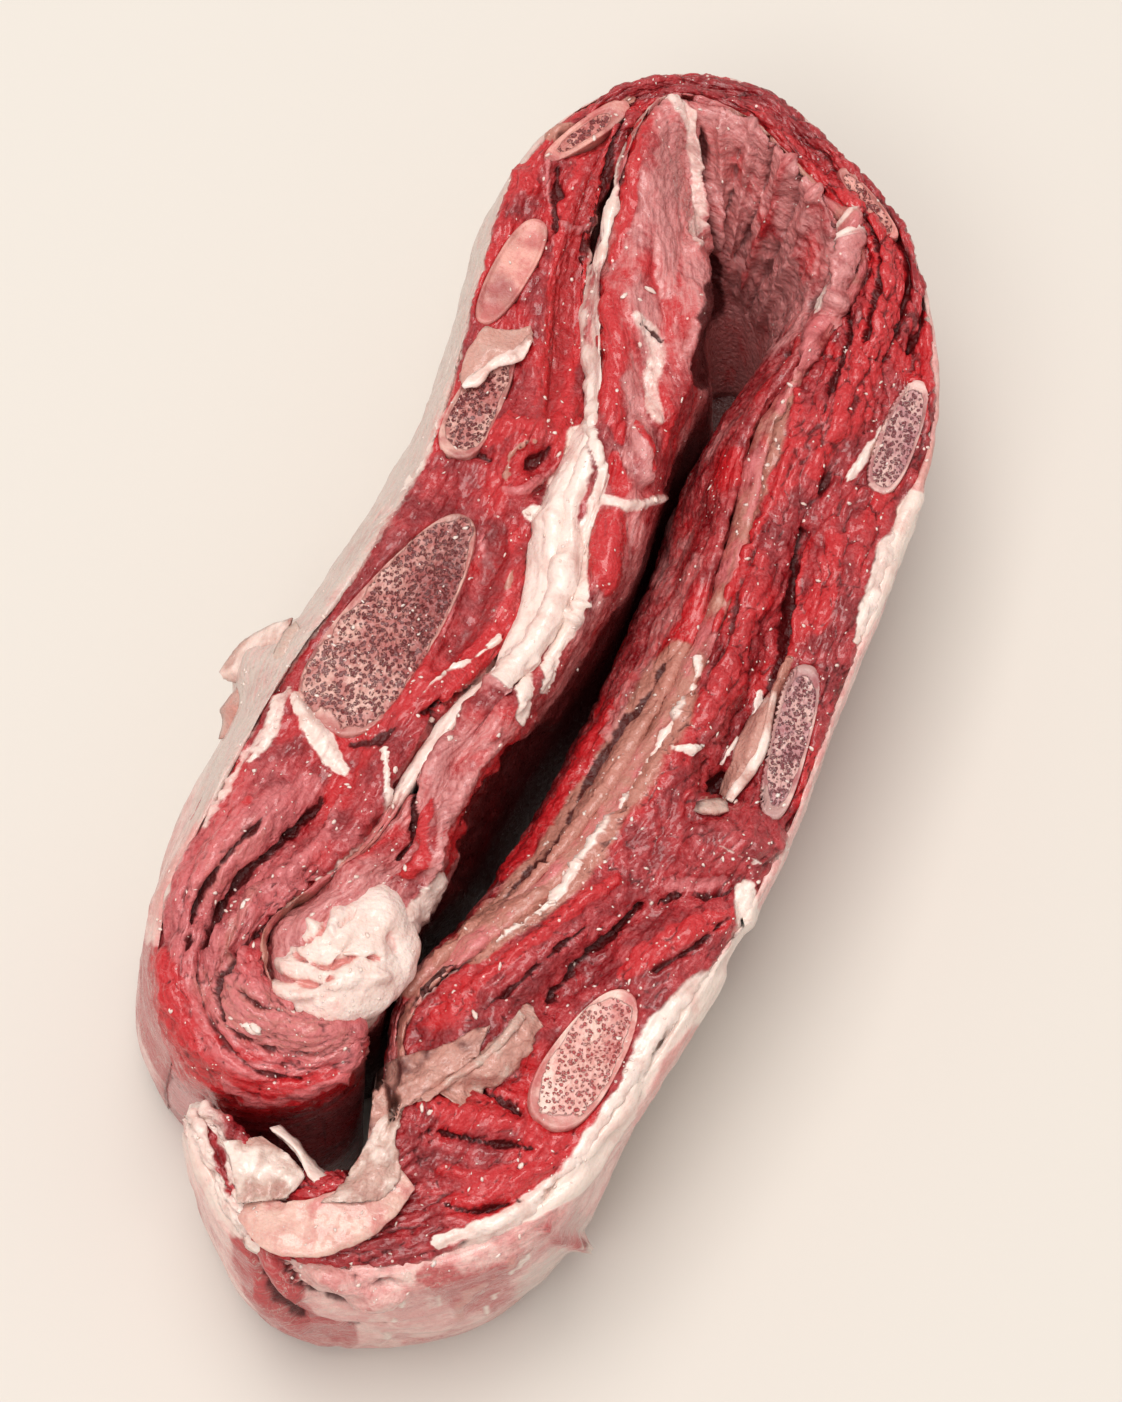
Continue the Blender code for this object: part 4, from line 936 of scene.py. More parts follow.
@dataclass
class RibMuscle(Layer):
    """Outer muscle layer: coarse bundles, sunken clefts darkened with painted shade, and sunk seats for the
    bones.
    """

    bundle: tuple[float, float] = (8.5, 4.6)
    grain: tuple[float, float] = (2.6, 1.7)
    name: str = "rib_muscle_meat"

    def build(self, finish: "Tissue") -> None:
        """Sculpt, paint and dress the layer."""
        s = self.strip
        fat = along(s.FAT_THICK, s.u) * s.left * 0.6
        seam = -along(s.SEAM_THICK, s.u) / 2 + 0.2
        outline = Outline((
            (0.10, 0.0, 0, 1), (0.0, 0.05, 0, 3), (0.0, 0.62, 0, 16), (0.0, 0.96, 0, 5), (0.035, 1.0, 1, 70),
            (0.965, 1.0, 1, 4), (1.0, 0.97, 0, 10), (1.0, 0.45, 0, 3), (1.0, 0.04, 0, 1), (0.92, 0.0, 0, 1),
            (0.5, 0.0, 0, 1)))
        grid = outline.sweep(s, lambda z: s.outer_wall(fat, z), lambda z: s.seam_wall(seam, z),
                             s.tops[:, :2], 0.4)
        surface = Surface(grid)
        loop = Loop(surface, s.run)
        top = surface.over(smooth(0.0, 0.7, outline.rows[:, 2]))
        face = np.maximum(top, surface.over(smooth(0.5, 0.9, outline.rows[:, 1])) * 0.8)
        dome, cleft = self.bundles(loop, *self.bundle, 0.5)
        fine, crack = self.bundles(loop, *self.grain, -0.4)
        coarse = along(((0, 0.7), (4, 0.7), (6, 0.5), (9, 0.6), (13, 0.7), (16, 0.95), (20, 0.75), (23, 0.7),
                        (28, 1.0)), s.u)[:, None] * np.ones(surface.shape)
        rise = coarse * (0.8 * dome - 0.9 * cleft)
        rise += coarse * (0.5 * fine - 0.6 * crack)
        rise += 0.5 * self.drift(loop, 9, 7)
        film = self.drift(loop, 22, 9, 11, 4, 0.6)
        level = along(((0, 0.62), (4, 0.52), (6, 0.30), (8, 0.05), (10, -0.1), (14, -0.1), (16, 0.05),
                       (20, 0.12), (23, 0.1), (24.2, 0.15), (28, 0.15)), s.u)
        surface.paint(FILM, level[:, None] + 0.36 * film, 0.9)
        # Painted shade: the clefts and cracks between bundles are darkened where shade falls
        dark = (0.85 * cleft + 0.35 * crack) * coarse - 0.22
        surface.paint(DEEP, dark, 0.6)
        surface.paint(BRIGHT, 0.4 + 0.5 * self.drift(loop, 18, 8, 5, 3), 0.8)
        across = surface.over(outline.rows[:, 0])
        edge = (1 - smooth(0.0, 0.06, across)) * face + smooth(0.96, 1.0, across) * face * 0.7
        surface.paint(FAT, edge * (0.75 + 0.5 * film))
        rise += surface.stroke(STROKES, "R", self.warp(surface), face)
        sink = seats(surface.points[..., 0], surface.points[..., 1]) * top
        surface.push(rise * face * (1 - sink))
        surface.lift(-sink * 6.0)
        place(surface.build(self.name), finish.build("lean_meat_look"), Slot.LEAN, "rib_muscle")


@dataclass
class InnerMuscle(Layer):
    """Inner muscle layer: pink lobes under silverskin, and the folded wall of the slot."""

    lobe: tuple[float, float] = (15.0, 9.0)
    name: str = "inner_muscle_meat"

    def build(self, finish: "Tissue") -> None:
        """Sculpt, paint and dress the layer."""
        s = self.strip.part(Strip.MUSCLE_START, Strip.MUSCLE_END)
        seam = along(s.SEAM_THICK, s.u) / 2 + 0.3
        outline = Outline((
            (0.5, 0.0, 0, 1), (0.08, 0.0, 0, 1), (0.0, 0.04, 0, 2), (0.0, 0.5, 0, 8), (0.0, 0.96, 0, 4),
            (0.06, 1.0, 1, 52), (0.94, 1.0, 1, 5), (1.0, 0.93, 0, 22), (1.0, 0.62, 0, 10), (1.0, 0.05, 0, 1),
            (0.92, 0.0, 0, 1)))
        width = s.tip(Strip.TIP[1])
        grid = outline.sweep(s, lambda z: s.seam_wall(seam, z), s.inner_wall, s.tops[:, 2:], 2.1, width)
        surface = Surface(grid)
        loop = Loop(surface, s.run)
        top = surface.over(outline.rows[:, 2])
        shown = np.maximum(top, surface.over(smooth(0.3, 0.8, outline.rows[:, 1])))
        wall = surface.over(smooth(0.97, 1.0, outline.rows[:, 0]))
        dome, cleft = self.bundles(loop, *self.lobe, 0.3)
        fine, crack = self.bundles(loop, 3.4, 2.0, 0.6)
        rise = 0.8 * dome - 0.5 * cleft
        rise += 0.25 * fine - 0.25 * crack
        rise += 0.45 * self.drift(loop, 7, 5)
        film = self.drift(loop, 16, 10, 11, 4, 0.6)
        level = along(((1, 0.6), (6, 0.5), (8, 0.45), (11, 0.55), (13, 0.75), (16, 0.6), (18, 0.25),
                       (22, 0.2), (25, 0.4)), s.u)
        surface.paint(FILM, level[:, None] + 0.4 * film + 0.12 * wall, 0.95)
        surface.paint(BRIGHT, 0.35 + 0.5 * self.drift(loop, 12, 7, 5, 3), 0.8)
        # Painted shade: the clefts between lobes are darkened where shade falls
        surface.paint(DEEP, 0.5 * cleft - 0.15, 0.5)
        rise += surface.stroke(STROKES, "I", self.warp(surface), shown)
        # Painted shade on the walls that face the slot: darker below a start height, strongly along the left
        # arm, not at the upper bend, partly along the right arm
        low = along(((1, 0.95), (8, 0.95), (10, 0.6), (11, 0.0), (16.6, 0.0), (17.6, 0.45), (22, 0.55),
                     (25, 0.8)), s.u)
        start = along(((1, 80.0), (9, 80.0), (11, 74.0), (17, 66.0), (25, 68.0)), s.u)[:, None]
        depth = 1 - smooth(0.0, 1.0, (surface.points[..., 2] - start + 20.0) / 20.0)
        surface.masks[DEEP] = np.maximum(surface.masks[DEEP], low[:, None] * depth * wall)
        surface.push(rise * shown)
        place(surface.build(self.name), finish.build("inner_meat_look"), Slot.INNER, "inner_muscle")


@dataclass
class SeamFat(Layer):
    """Sheet of fat between the muscle layers: white on the left arm, tan on the right."""

    name: str = "seam_fat_sheet"

    def build(self, finish: "Tissue") -> None:
        """Sculpt, paint and dress the sheet."""
        s = self.strip.part(Strip.MUSCLE_START, Strip.MUSCLE_END)
        half = along(s.SEAM_THICK, s.u) / 2
        outline = Outline((
            (0.5, 0.025, 0, 1), (0.0, 0.03, 0, 2), (0.0, 0.5, 0, 3), (0.0, 0.99, 0, 2), (0.3, 1.0, 1, 9),
            (0.7, 1.0, 1, 2), (1.0, 0.99, 0, 3), (1.0, 0.5, 0, 2), (1.0, 0.03, 0, 1)))
        proud = along(((1, 0.2), (5, 0.4), (6, 1.2), (9, 1.2), (10, 0.5), (16, 0.5), (17.5, -0.6),
                       (20.5, 0.2), (25, 0.6)), s.u)
        tops = s.tops[:, 1:3] + proud[:, None]
        grid = outline.sweep(s, lambda z: s.seam_wall(-half, z), lambda z: s.seam_wall(half, z), tops, None)
        surface = Surface(grid)
        loop = Loop(surface, s.run)
        face = surface.over(smooth(0.9, 0.99, outline.rows[:, 1]))
        rise = 0.7 * self.drift(loop, 5, 4)
        white = along(((1, 0.0), (4, 0.15), (5.2, 0.3), (6, 0.9), (9, 1.0), (9.6, 0.5), (12, 0.35), (15, 0.1),
                       (18, 0.0), (25, 0.0)), s.u)
        film = self.drift(loop, 9, 5, 4, 4, 0.6)
        surface.paint(FAT, white[:, None] + 0.35 * film)
        pale = along(((1, 0.7), (9, 0.7), (16, 0.6), (17, 0.3), (20, 0.4), (20.8, 1.0), (23.6, 1.0),
                      (25, 0.6)), s.u)
        surface.paint(TAN, pale[:, None] - 0.6 * white[:, None] + 0.3 * film)
        surface.paint(FILM, 0.5 - 0.4 * film)
        surface.paint(BRIGHT, 0.25 + 0.5 * self.drift(loop, 6, 4, octaves=3), 0.7)
        rise += surface.stroke(STROKES, "S", self.warp(surface), face)
        surface.push(rise * face)
        place(surface.build(self.name), finish.build("seam_fat_look"), Slot.WHITE, "seam_fat")


@dataclass
class OuterFat(Layer):
    """Membrane and fat that cover the outside of the strip."""

    name: str = "outer_fat_cover"

    def build(self, finish: "Tissue") -> None:
        """Sculpt, paint and dress the cover."""
        s = self.strip.part(Strip.FAT_START, Strip.LAST + 1)
        fat = along(s.FAT_THICK, s.u) * s.left
        place_u, place_z, reach, span_u, span_z = Strip.POCKET
        beside = np.exp(-((s.u - place_u) / span_u) ** 2)
        outline = Outline((
            (1.0, 0.05, 0, 1), (0.4, 0.03, 0, 1), (0.0, 0.08, 0, 28), (0.0, 0.80, 0, 12),
            (0.06, 0.93, 0.5, 5), (0.35, 0.99, 1, 4), (0.75, 1.0, 1, 3), (1.0, 0.93, 0, 4), (1.0, 0.42, 0, 2),
            (1.0, 0.05, 0, 1)))

        def face(z: np.ndarray) -> np.ndarray:
            """Outer wall of the strip with the swell of the pocket."""
            out = reach * beside * np.exp(-((z - place_z) / span_z) ** 2)
            return s.outer_wall(-out, z)

        tops = np.column_stack([s.tops[:, 0], s.tops[:, 0]])
        surface = Surface(outline.sweep(s, face, lambda z: s.outer_wall(fat, z), tops, None))
        loop = Loop(surface, s.run)
        shown = 1 - surface.over(smooth(0.8, 1.0, outline.rows[:, 0]))
        rise = 0.8 * self.drift(loop, 16, 12)
        rise += 0.3 * self.drift(loop, 4, 3, octaves=3)
        film = self.drift(loop, 14, 20, 4, 4, 0.6)
        low = 1 - surface.over(outline.rows[:, 1])
        grey = along(((2, 0.2), (4.4, 0.3), (5.4, 0.8), (8, 0.8), (11, 1.0), (12.4, 0.7), (13.5, 0.2),
                      (28, 0.0)), s.u)[:, None]
        red = along(((2, 0.5), (4.4, 0.4), (5.4, 0.15), (9, 0.12), (11, 0.0), (13, 0.2), (18, 0.12),
                     (23, 0.05), (24.4, 0.15), (28, 0.25)), s.u)[:, None]
        surface.paint(FILM, grey + 0.5 * film)
        surface.paint(BRIGHT, red + 0.45 * film + 0.2 * low, 0.85)
        streak = self.drift(loop, 40, 4, 8, 4, 0.6)
        surface.paint(TAN, 0.25 + 0.35 * low + 0.45 * streak, 0.8)
        rise += 0.35 * streak
        rise += surface.stroke(STROKES, "C", self.warp(surface), shown)
        surface.push(rise * shown * np.minimum(1.0, fat[:, None] / 1.5))
        place(surface.build(self.name), finish.build("outer_fat_look"), Slot.CAP, "outer_fat")


@dataclass
class RibBone:
    """One sawn rib bone: a hard rim around spongy marrow."""

    number: int
    marrow: float = 1.0          # share of the end that is spongy
    dark_way: tuple[float, float] = (0.0, 0.0)   # where the marrow is darkest: along, across
    rim: float = 0.80            # where the hard rim begins
    proud: float = 0.5
    teeth: float = 0.0           # depth of the saw's chips along its left side, millimetres

    def build(self, finish: "SawnBone") -> None:
        """Sculpt, paint and dress the bone."""
        form = BONES[self.number - 1]
        x, y, length, width, turn, top, taper, square, lean = form
        noise = Noise(40 + self.number)
        angle = math.radians(turn)
        sides = int(max(110, 5.0 * length) / COARSE)
        inner = int(max(16, width * 2.2) / COARSE)
        steps = [(1.0, h) for h in (0.0, 0.3, 0.7, 0.93, 0.985)] + [(0.985, 0.997)]
        steps += [(0.97 * (1 - i / inner), 1.0) for i in range(inner)]
        theta = 2 * math.pi * np.arange(sides) / sides
        c, s = np.cos(theta), np.sin(theta)
        radius = (np.abs(c) ** square + np.abs(s) ** square) ** (-1 / square)
        rings = []
        for r, h in steps:
            scale = (0.92 + 0.08 * h) * r
            a = length / 2 * scale * radius * c
            b = width / 2 * scale * (1 + taper * c) * radius * s
            chips = np.sin(a * 5.2 + 1.3 * np.sin(a * 1.1)) * smooth(0.1, 0.6, s)
            b = b + self.teeth * chips * smooth(0.75, 0.95, r) * (h > 0.9)
            z = np.full(sides, h * top)
            px = x + a * math.cos(angle) - b * math.sin(angle) + lean * (z / HEIGHT - 1)
            py = y + a * math.sin(angle) + b * math.cos(angle)
            rings.append(np.column_stack([px, py, z]))
        surface = Surface(np.stack(rings))
        r = np.array([[step[0] if step[1] > 0.99 else 1.05 for step in steps]]).T * np.ones((1, sides))
        q = surface.points.reshape(-1, 3)
        ragged = surface.over(noise.fractal(q / 5.0, 3))
        sponge = (1 - smooth(self.rim - 0.08, self.rim + 0.04, r + 0.10 * ragged)) * self.marrow
        first, second = noise.cells(q / 1.4)
        pit = surface.over(smooth(0.12, 0.5, second - first))
        lean_way = self.dark_way[0] * (c[None, :] * r) + self.dark_way[1] * (s[None, :] * r)
        dark = 0.55 + 0.5 * lean_way + 0.25 * ragged
        surface.paint(DEEP, sponge * (0.35 + 0.65 * np.clip(dark, 0, 1)))
        surface.paint(TAN, sponge)
        surface.masks[FAT] = smooth(self.rim, self.rim + 0.1, r)
        surface.paint(BRIGHT, 0.3 + 0.6 * surface.over(noise.fractal(q / 7.0, 3)), 0.8)
        face = (r <= 1.0).astype(float)
        rise = -0.6 * sponge * pit * (0.5 + 0.5 * np.clip(dark, 0, 1)) + 0.25 * ragged * face
        rise += self.proud * smooth(self.rim - 0.05, self.rim + 0.1, r) * face * (1 - smooth(0.97, 1.0, r))
        surface.lift(rise)
        place(surface.build(f"bone_{self.number}"), finish.build(f"bone_look_{self.number}"), Slot.BONE,
              f"rib_bone_{self.number}")


@dataclass
class FatLump:
    """The big lump of white fat at the rolled end."""

    at: tuple[float, float, float] = (-22.0, -88.0, 78.0)
    half: tuple[float, float, float] = (12.5, 18.0, 13.5)
    turn: float = -18.0
    lobes: tuple = ((0.4, 0.3, 0.16), (1.9, 0.5, 0.14), (3.5, 0.4, 0.12), (5.0, 0.3, 0.16))
    # The pink laid along the creases and on the right side is painted shade on the white fat
    creases: tuple[Stroke, ...] = (
        Stroke("lump long crease", "L", ((276, 940), (296, 957), (325, 966), (356, 957), (394, 962)), 3.0,
               -1.6, BRIGHT, 0.75),
        Stroke("lump lower lobe", "L", ((330, 985), (356, 978), (384, 975)), 12, 1.4),
        Stroke("lump left lobe 1", "L", ((285, 925), (300, 915), (312, 925)), 9, 1.3),
        Stroke("lump left lobe 2", "L", ((272, 950), (282, 962), (290, 975)), 8, 1.1, BRIGHT, 0.4),
        Stroke("lump left lobe 3", "L", ((268, 985), (290, 995), (312, 996)), 8, 1.2),
        Stroke("lump left crease 1", "L", ((282, 938), (300, 940), (318, 932), (326, 918)), 2.6, -1.3, BRIGHT,
               0.7),
        Stroke("lump left crease 2", "L", ((266, 972), (290, 980), (318, 984), (330, 978)), 2.6, -1.2, BRIGHT,
               0.7),
        Stroke("lump top crease", "L", ((352, 872), (358, 892), (354, 912), (340, 925)), 2.6, -0.9, BRIGHT,
               0.45),
        Stroke("lump top fold", "L", ((330, 885), (338, 905), (332, 930)), 7, 0.9),
        Stroke("lump right shade", "L", ((392, 930), (398, 950)), 8, -0.8, BRIGHT, 0.5),
    )

    def build(self, finish: "Tissue") -> None:
        """Sculpt, paint and dress the lump."""
        noise = Noise(60)
        turn = math.radians(self.turn)
        sides, bands = int(150 / COARSE), int(100 / COARSE)
        theta = 2 * math.pi * np.arange(sides) / sides
        rings = []
        for band in range(1, bands):
            tilt = math.pi * (band / bands - 0.5)
            radius = 1 + 0.03 * np.sin(3 * theta + 5 * tilt)
            for where, rise, lobe in self.lobes:
                away = (1 - np.cos(theta - where)) * 3.0 + (math.sin(tilt) - rise) ** 2 * 4.0
                radius += lobe * np.exp(-away)
            x = self.half[0] * radius * math.cos(tilt) * np.cos(theta)
            y = self.half[1] * radius * math.cos(tilt) * np.sin(theta)
            z = self.half[2] * radius * math.sin(tilt)
            over = self.at[0] + x * math.cos(turn) - y * math.sin(turn)
            back = self.at[1] + x * math.sin(turn) + y * math.cos(turn)
            rings.append(np.column_stack([over, back, self.at[2] + z]))
        surface = Surface(np.stack(rings))
        q = surface.points.reshape(-1, 3)
        rise = 1.3 * surface.over(noise.fractal(q / 9.0, 4))
        warp = noise.fractal(np.column_stack([surface.spots / 14.0, np.ones(len(q))]), 3) * 4
        rise += surface.stroke(self.creases, "L", warp, np.ones(surface.shape))
        blush = np.clip(0.05 + 0.5 * surface.over(noise.fractal(q / 6.0 + 3, 4)), 0, 0.5)
        surface.masks[BRIGHT] = np.maximum(surface.masks[BRIGHT], blush)
        surface.push(rise)
        place(surface.build("lump_of_fat"), finish.build("lump_look"), Slot.WHITE, "fat_lump")


@dataclass
class FatFlap:
    """The tongue-shaped flap on the lower bend."""

    route: tuple = ((-25, -143.5, 73.5), (-17, -147, 76), (-8, -144, 77), (0, -137, 77), (6, -128, 76.5))
    half_width: float = 6.5
    half_thick: float = 2.6

    def build(self, finish: "Tissue") -> None:
        """Sculpt, paint and dress the flap."""
        noise = Noise(70)
        rings, sides = int(90 / COARSE), int(80 / COARSE)
        route = spline(self.route, np.linspace(0, len(self.route) - 1, rings))
        ways = unit(np.gradient(route, axis=0))
        theta = 2 * math.pi * np.arange(sides) / sides
        rows = []
        for i, (middle, way) in enumerate(zip(route, ways)):
            f = i / (rings - 1)
            size = 0.35 + 0.65 * math.sin(math.pi * (0.06 + 0.90 * f)) ** 0.6
            side = unit(np.array([-way[1], way[0], 0.0]))
            up = np.cross(way, side)
            wide = self.half_width * size * np.cos(theta)
            thick = self.half_thick * size * np.sin(theta) + 1.6 * (wide / self.half_width) ** 2
            rows.append(middle + side * wide[:, None] + up * thick[:, None])
        surface = Surface(np.stack(rows))
        q = surface.points.reshape(-1, 3)
        rise = 0.8 * surface.over(noise.fractal(q / 6.0, 4))
        surface.paint(BRIGHT, 0.3 + 0.6 * surface.over(noise.fractal(q / 5.0 + 3, 4)), 0.7)
        surface.push(rise)
        place(surface.build("flap_of_fat"), finish.build("flap_look"), Slot.WHITE, "fat_flap")


@dataclass(frozen=True)
class Sheet:
    """A torn sheet of membrane or fat, or a dark sheet of painted shade, between two rails.

    A rail is a row of picture positions, each with a height in millimetres or, without one,
    laid on what is below.
    """

    name: str
    near: tuple[tuple[float, ...], ...]
    far: tuple[tuple[float, ...], ...]
    thick: float = 1.0     # millimetres, as are lift, arch and waves
    lift: float = 0.5      # above what the sheet is laid on
    arch: float = 0.0      # of the middle over the rails
    paints: tuple[tuple[Paint, float], ...] = ((Paint.FILM, 1.0),)
    ragged: float = 2.0    # shift of the torn edges in picture units
    waves: float = 0.4

    def rail(self, rows: tuple[tuple[float, ...], ...], share: np.ndarray) -> np.ndarray:
        """Positions along a rail."""
        return spline([row if len(row) == 3 else (*row, 0.0) for row in rows], share * (len(rows) - 1))

    def drape(self, spots: np.ndarray) -> np.ndarray:
        """Heights of what lies below a grid of positions, smoothed like cloth."""
        shape = spots.shape[:2]
        heights = np.full(shape, np.nan)
        for i in range(shape[0]):
            for j in range(shape[1]):
                found = GROUND.hit(*spots[i, j, :2])
                if found is not None and found[0][2] > 5.0:
                    heights[i, j] = found[0][2]
        heights = np.where(np.isnan(heights), np.nanmedian(heights), heights)
        cloth = heights.copy()
        for _ in range(12):
            padded = np.pad(cloth, 1, mode="edge")
            cloth = (padded[:-2, 1:-1] + padded[2:, 1:-1] + padded[1:-1, :-2] + padded[1:-1, 2:]) / 4
            cloth = np.maximum(cloth, heights - 0.4)
        return cloth

    def build(self, finish: "Tissue", slot: Slot) -> None:
        """Lay, thicken, paint and dress the sheet."""
        noise = Noise(sum(map(ord, self.name)))
        reach = max(np.linalg.norm(np.diff([row[:2] for row in rail], axis=0), axis=1).sum()
                    for rail in (self.near, self.far)) / VIEW.scale
        width = max(np.linalg.norm(np.subtract(a[:2], b[:2]))
                    for a, b in zip(self.near, self.far)) / VIEW.scale
        rows, cols = max(int(reach / (0.7 * COARSE)), 8), max(int(width / (0.6 * COARSE)), 6)
        s, t = np.linspace(0, 1, rows), np.linspace(0, 1, cols)
        near, far = self.rail(self.near, s), self.rail(self.far, s)
        spots = near[:, None] * (1 - t)[None, :, None] + far[:, None] * t[None, :, None]
        edge = np.maximum(np.abs(2 * t - 1)[None, :] ** 3, np.abs(2 * s - 1)[:, None] ** 6)
        wander = np.column_stack([spots.reshape(-1, 3)[:, :2] / 9.0, np.zeros(rows * cols)])
        for axis in (0, 1):
            spots[..., axis] += self.ragged * edge * noise.fractal(wander + 5.0 * axis, 3).reshape(rows, cols)
        if len(self.near[0]) == 2:
            spots[..., 2] = self.drape(spots) + self.lift
        rounded = np.sin(math.pi * np.clip(s, 0.04, 0.96))[:, None] ** 0.5
        spots[..., 2] += self.arch * (4 * t * (1 - t))[None, :] * rounded
        spots[..., 2] += self.waves * noise.fractal(wander * 0.8 + 9.0, 4).reshape(rows, cols)
        flat = np.array([VIEW.place(*spot) for spot in spots.reshape(-1, 3)]).reshape(rows, cols, 3)
        normal = unit(np.cross(np.gradient(flat, axis=0), np.gradient(flat, axis=1)))
        normal *= np.where(np.sum(normal * VIEW.axes()[2], axis=2) < 0, -1.0, 1.0)[..., None]
        depth = self.thick * (0.3 + 0.7 * np.sqrt(np.clip(1 - edge, 0, 1)))
        under = flat - normal * depth[..., None]
        surface = Surface(np.concatenate([flat, under[:, ::-1]], axis=1))
        tone = surface.over(noise.fractal(surface.points.reshape(-1, 3) / 5.0, 4))
        for paint, share in self.paints:
            surface.paint(paint, share + 0.35 * tone)
        place(surface.build(self.name), finish.build(self.name + "_look"), slot)


@dataclass(frozen=True)
class FlecksAndGlints:
    """Crumbs of fat and bone that lie scattered over the cut face; the many tiny ones are partly fat granules
    and partly painted glints.
    """

    named: tuple[tuple[float, float, float], ...] = (
        (430, 720, 1.7), (450, 738, 1.6), (395, 770, 1.5), (418, 716, 1.2), (255, 1028, 2.2), (650, 290, 1.9),
        (624, 296, 1.3), (592, 292, 1.4), (640, 300, 1.1), (548, 421, 1.2), (521, 1166, 1.8),
        (422, 1108, 1.4), (475, 1015, 1.7), (430, 1112, 1.3), (736, 802, 1.5), (640, 345, 1.0),
        (548, 155, 1.2), (512, 168, 1.1), (655, 500, 1.6), (528, 513, 1.2), (790, 385, 1.1), (783, 402, 1.2),
        (776, 440, 1.0), (846, 352, 1.3), (500, 966, 1.2), (552, 902, 1.3), (540, 914, 1.0), (605, 862, 1.0),
        (446, 846, 1.2), (405, 868, 1.1), (215, 893, 1.1), (243, 905, 1.3), (232, 1018, 1.2), (318, 800, 1.0),
        (505, 555, 1.2), (545, 398, 1.1))
    across: tuple[float, float] = (150, 945)      # picture window of the scattered crumbs
    down: tuple[float, float] = (70, 1330)
    lowest: float = 66.0                          # least height that a crumb lies at, millimetres
    count: int = 2600
    seed: int = 90

    def crumb(self, spot: np.ndarray, normal: np.ndarray, size: float, rng: np.random.Generator,
              fine: bool) -> tuple[np.ndarray, np.ndarray]:
        """Points and triangles of one crumb."""
        mesh = bmesh.new()
        bmesh.ops.create_icosphere(mesh, subdivisions=2 if fine else 1, radius=1.0)
        points = np.array([v.co[:] for v in mesh.verts])
        faces = np.array([[v.index for v in f.verts] for f in mesh.faces])
        mesh.free()
        points *= 1 + rng.uniform(-0.28, 0.28, (len(points), 1))
        side = unit(np.cross(normal, rng.normal(size=3)))
        axes = np.stack([side * rng.uniform(0.9, 1.7), np.cross(normal, side) * rng.uniform(0.6, 0.9),
                         normal * rng.uniform(0.35, 0.55)])
        return spot + (points * size) @ axes, faces

    def build(self, finish: "Tissue") -> None:
        """Scatter, merge and dress the crumbs."""
        rng = np.random.default_rng(self.seed)
        noise = Noise(self.seed)
        verts, faces = [], []
        total = 0
        spots = [(x, y, size / 2, True) for x, y, size in self.named]
        # The small random crumbs are partly fat granules and partly painted glints: white dots for the wet
        # shine of the cut face
        for _ in range(4 * self.count):
            x, y = rng.uniform(*self.across), rng.uniform(*self.down)
            if noise.fractal(np.array([[x / 70, y / 70, 0.5]]), 3)[0] > rng.uniform(-0.6, 0.9):
                spots.append((x, y, 0.20 + 0.42 * rng.random() ** 4, False))
        for x, y, size, fine in spots[:self.count]:
            found = GROUND.hit(x, y)
            if found is None or found[0][2] < self.lowest or abs(found[1][2]) < 0.35:
                continue
            normal = found[1] * (1.0 if found[1][2] > 0 else -1.0)
            points, triangles = self.crumb(found[0] + normal * size * 0.15, normal, size, rng, fine)
            verts.append(points)
            faces.append(triangles + total)
            total += len(points)
        mesh = bpy.data.meshes.new("fat_flecks")
        mesh.from_pydata((np.vstack(verts) - CENTRE) * MM, [], np.vstack(faces).tolist())
        mesh.shade_smooth()
        place(link(bpy.data.objects.new("fat_flecks", mesh)), finish.build("flecks_look"), Slot.WHITE)


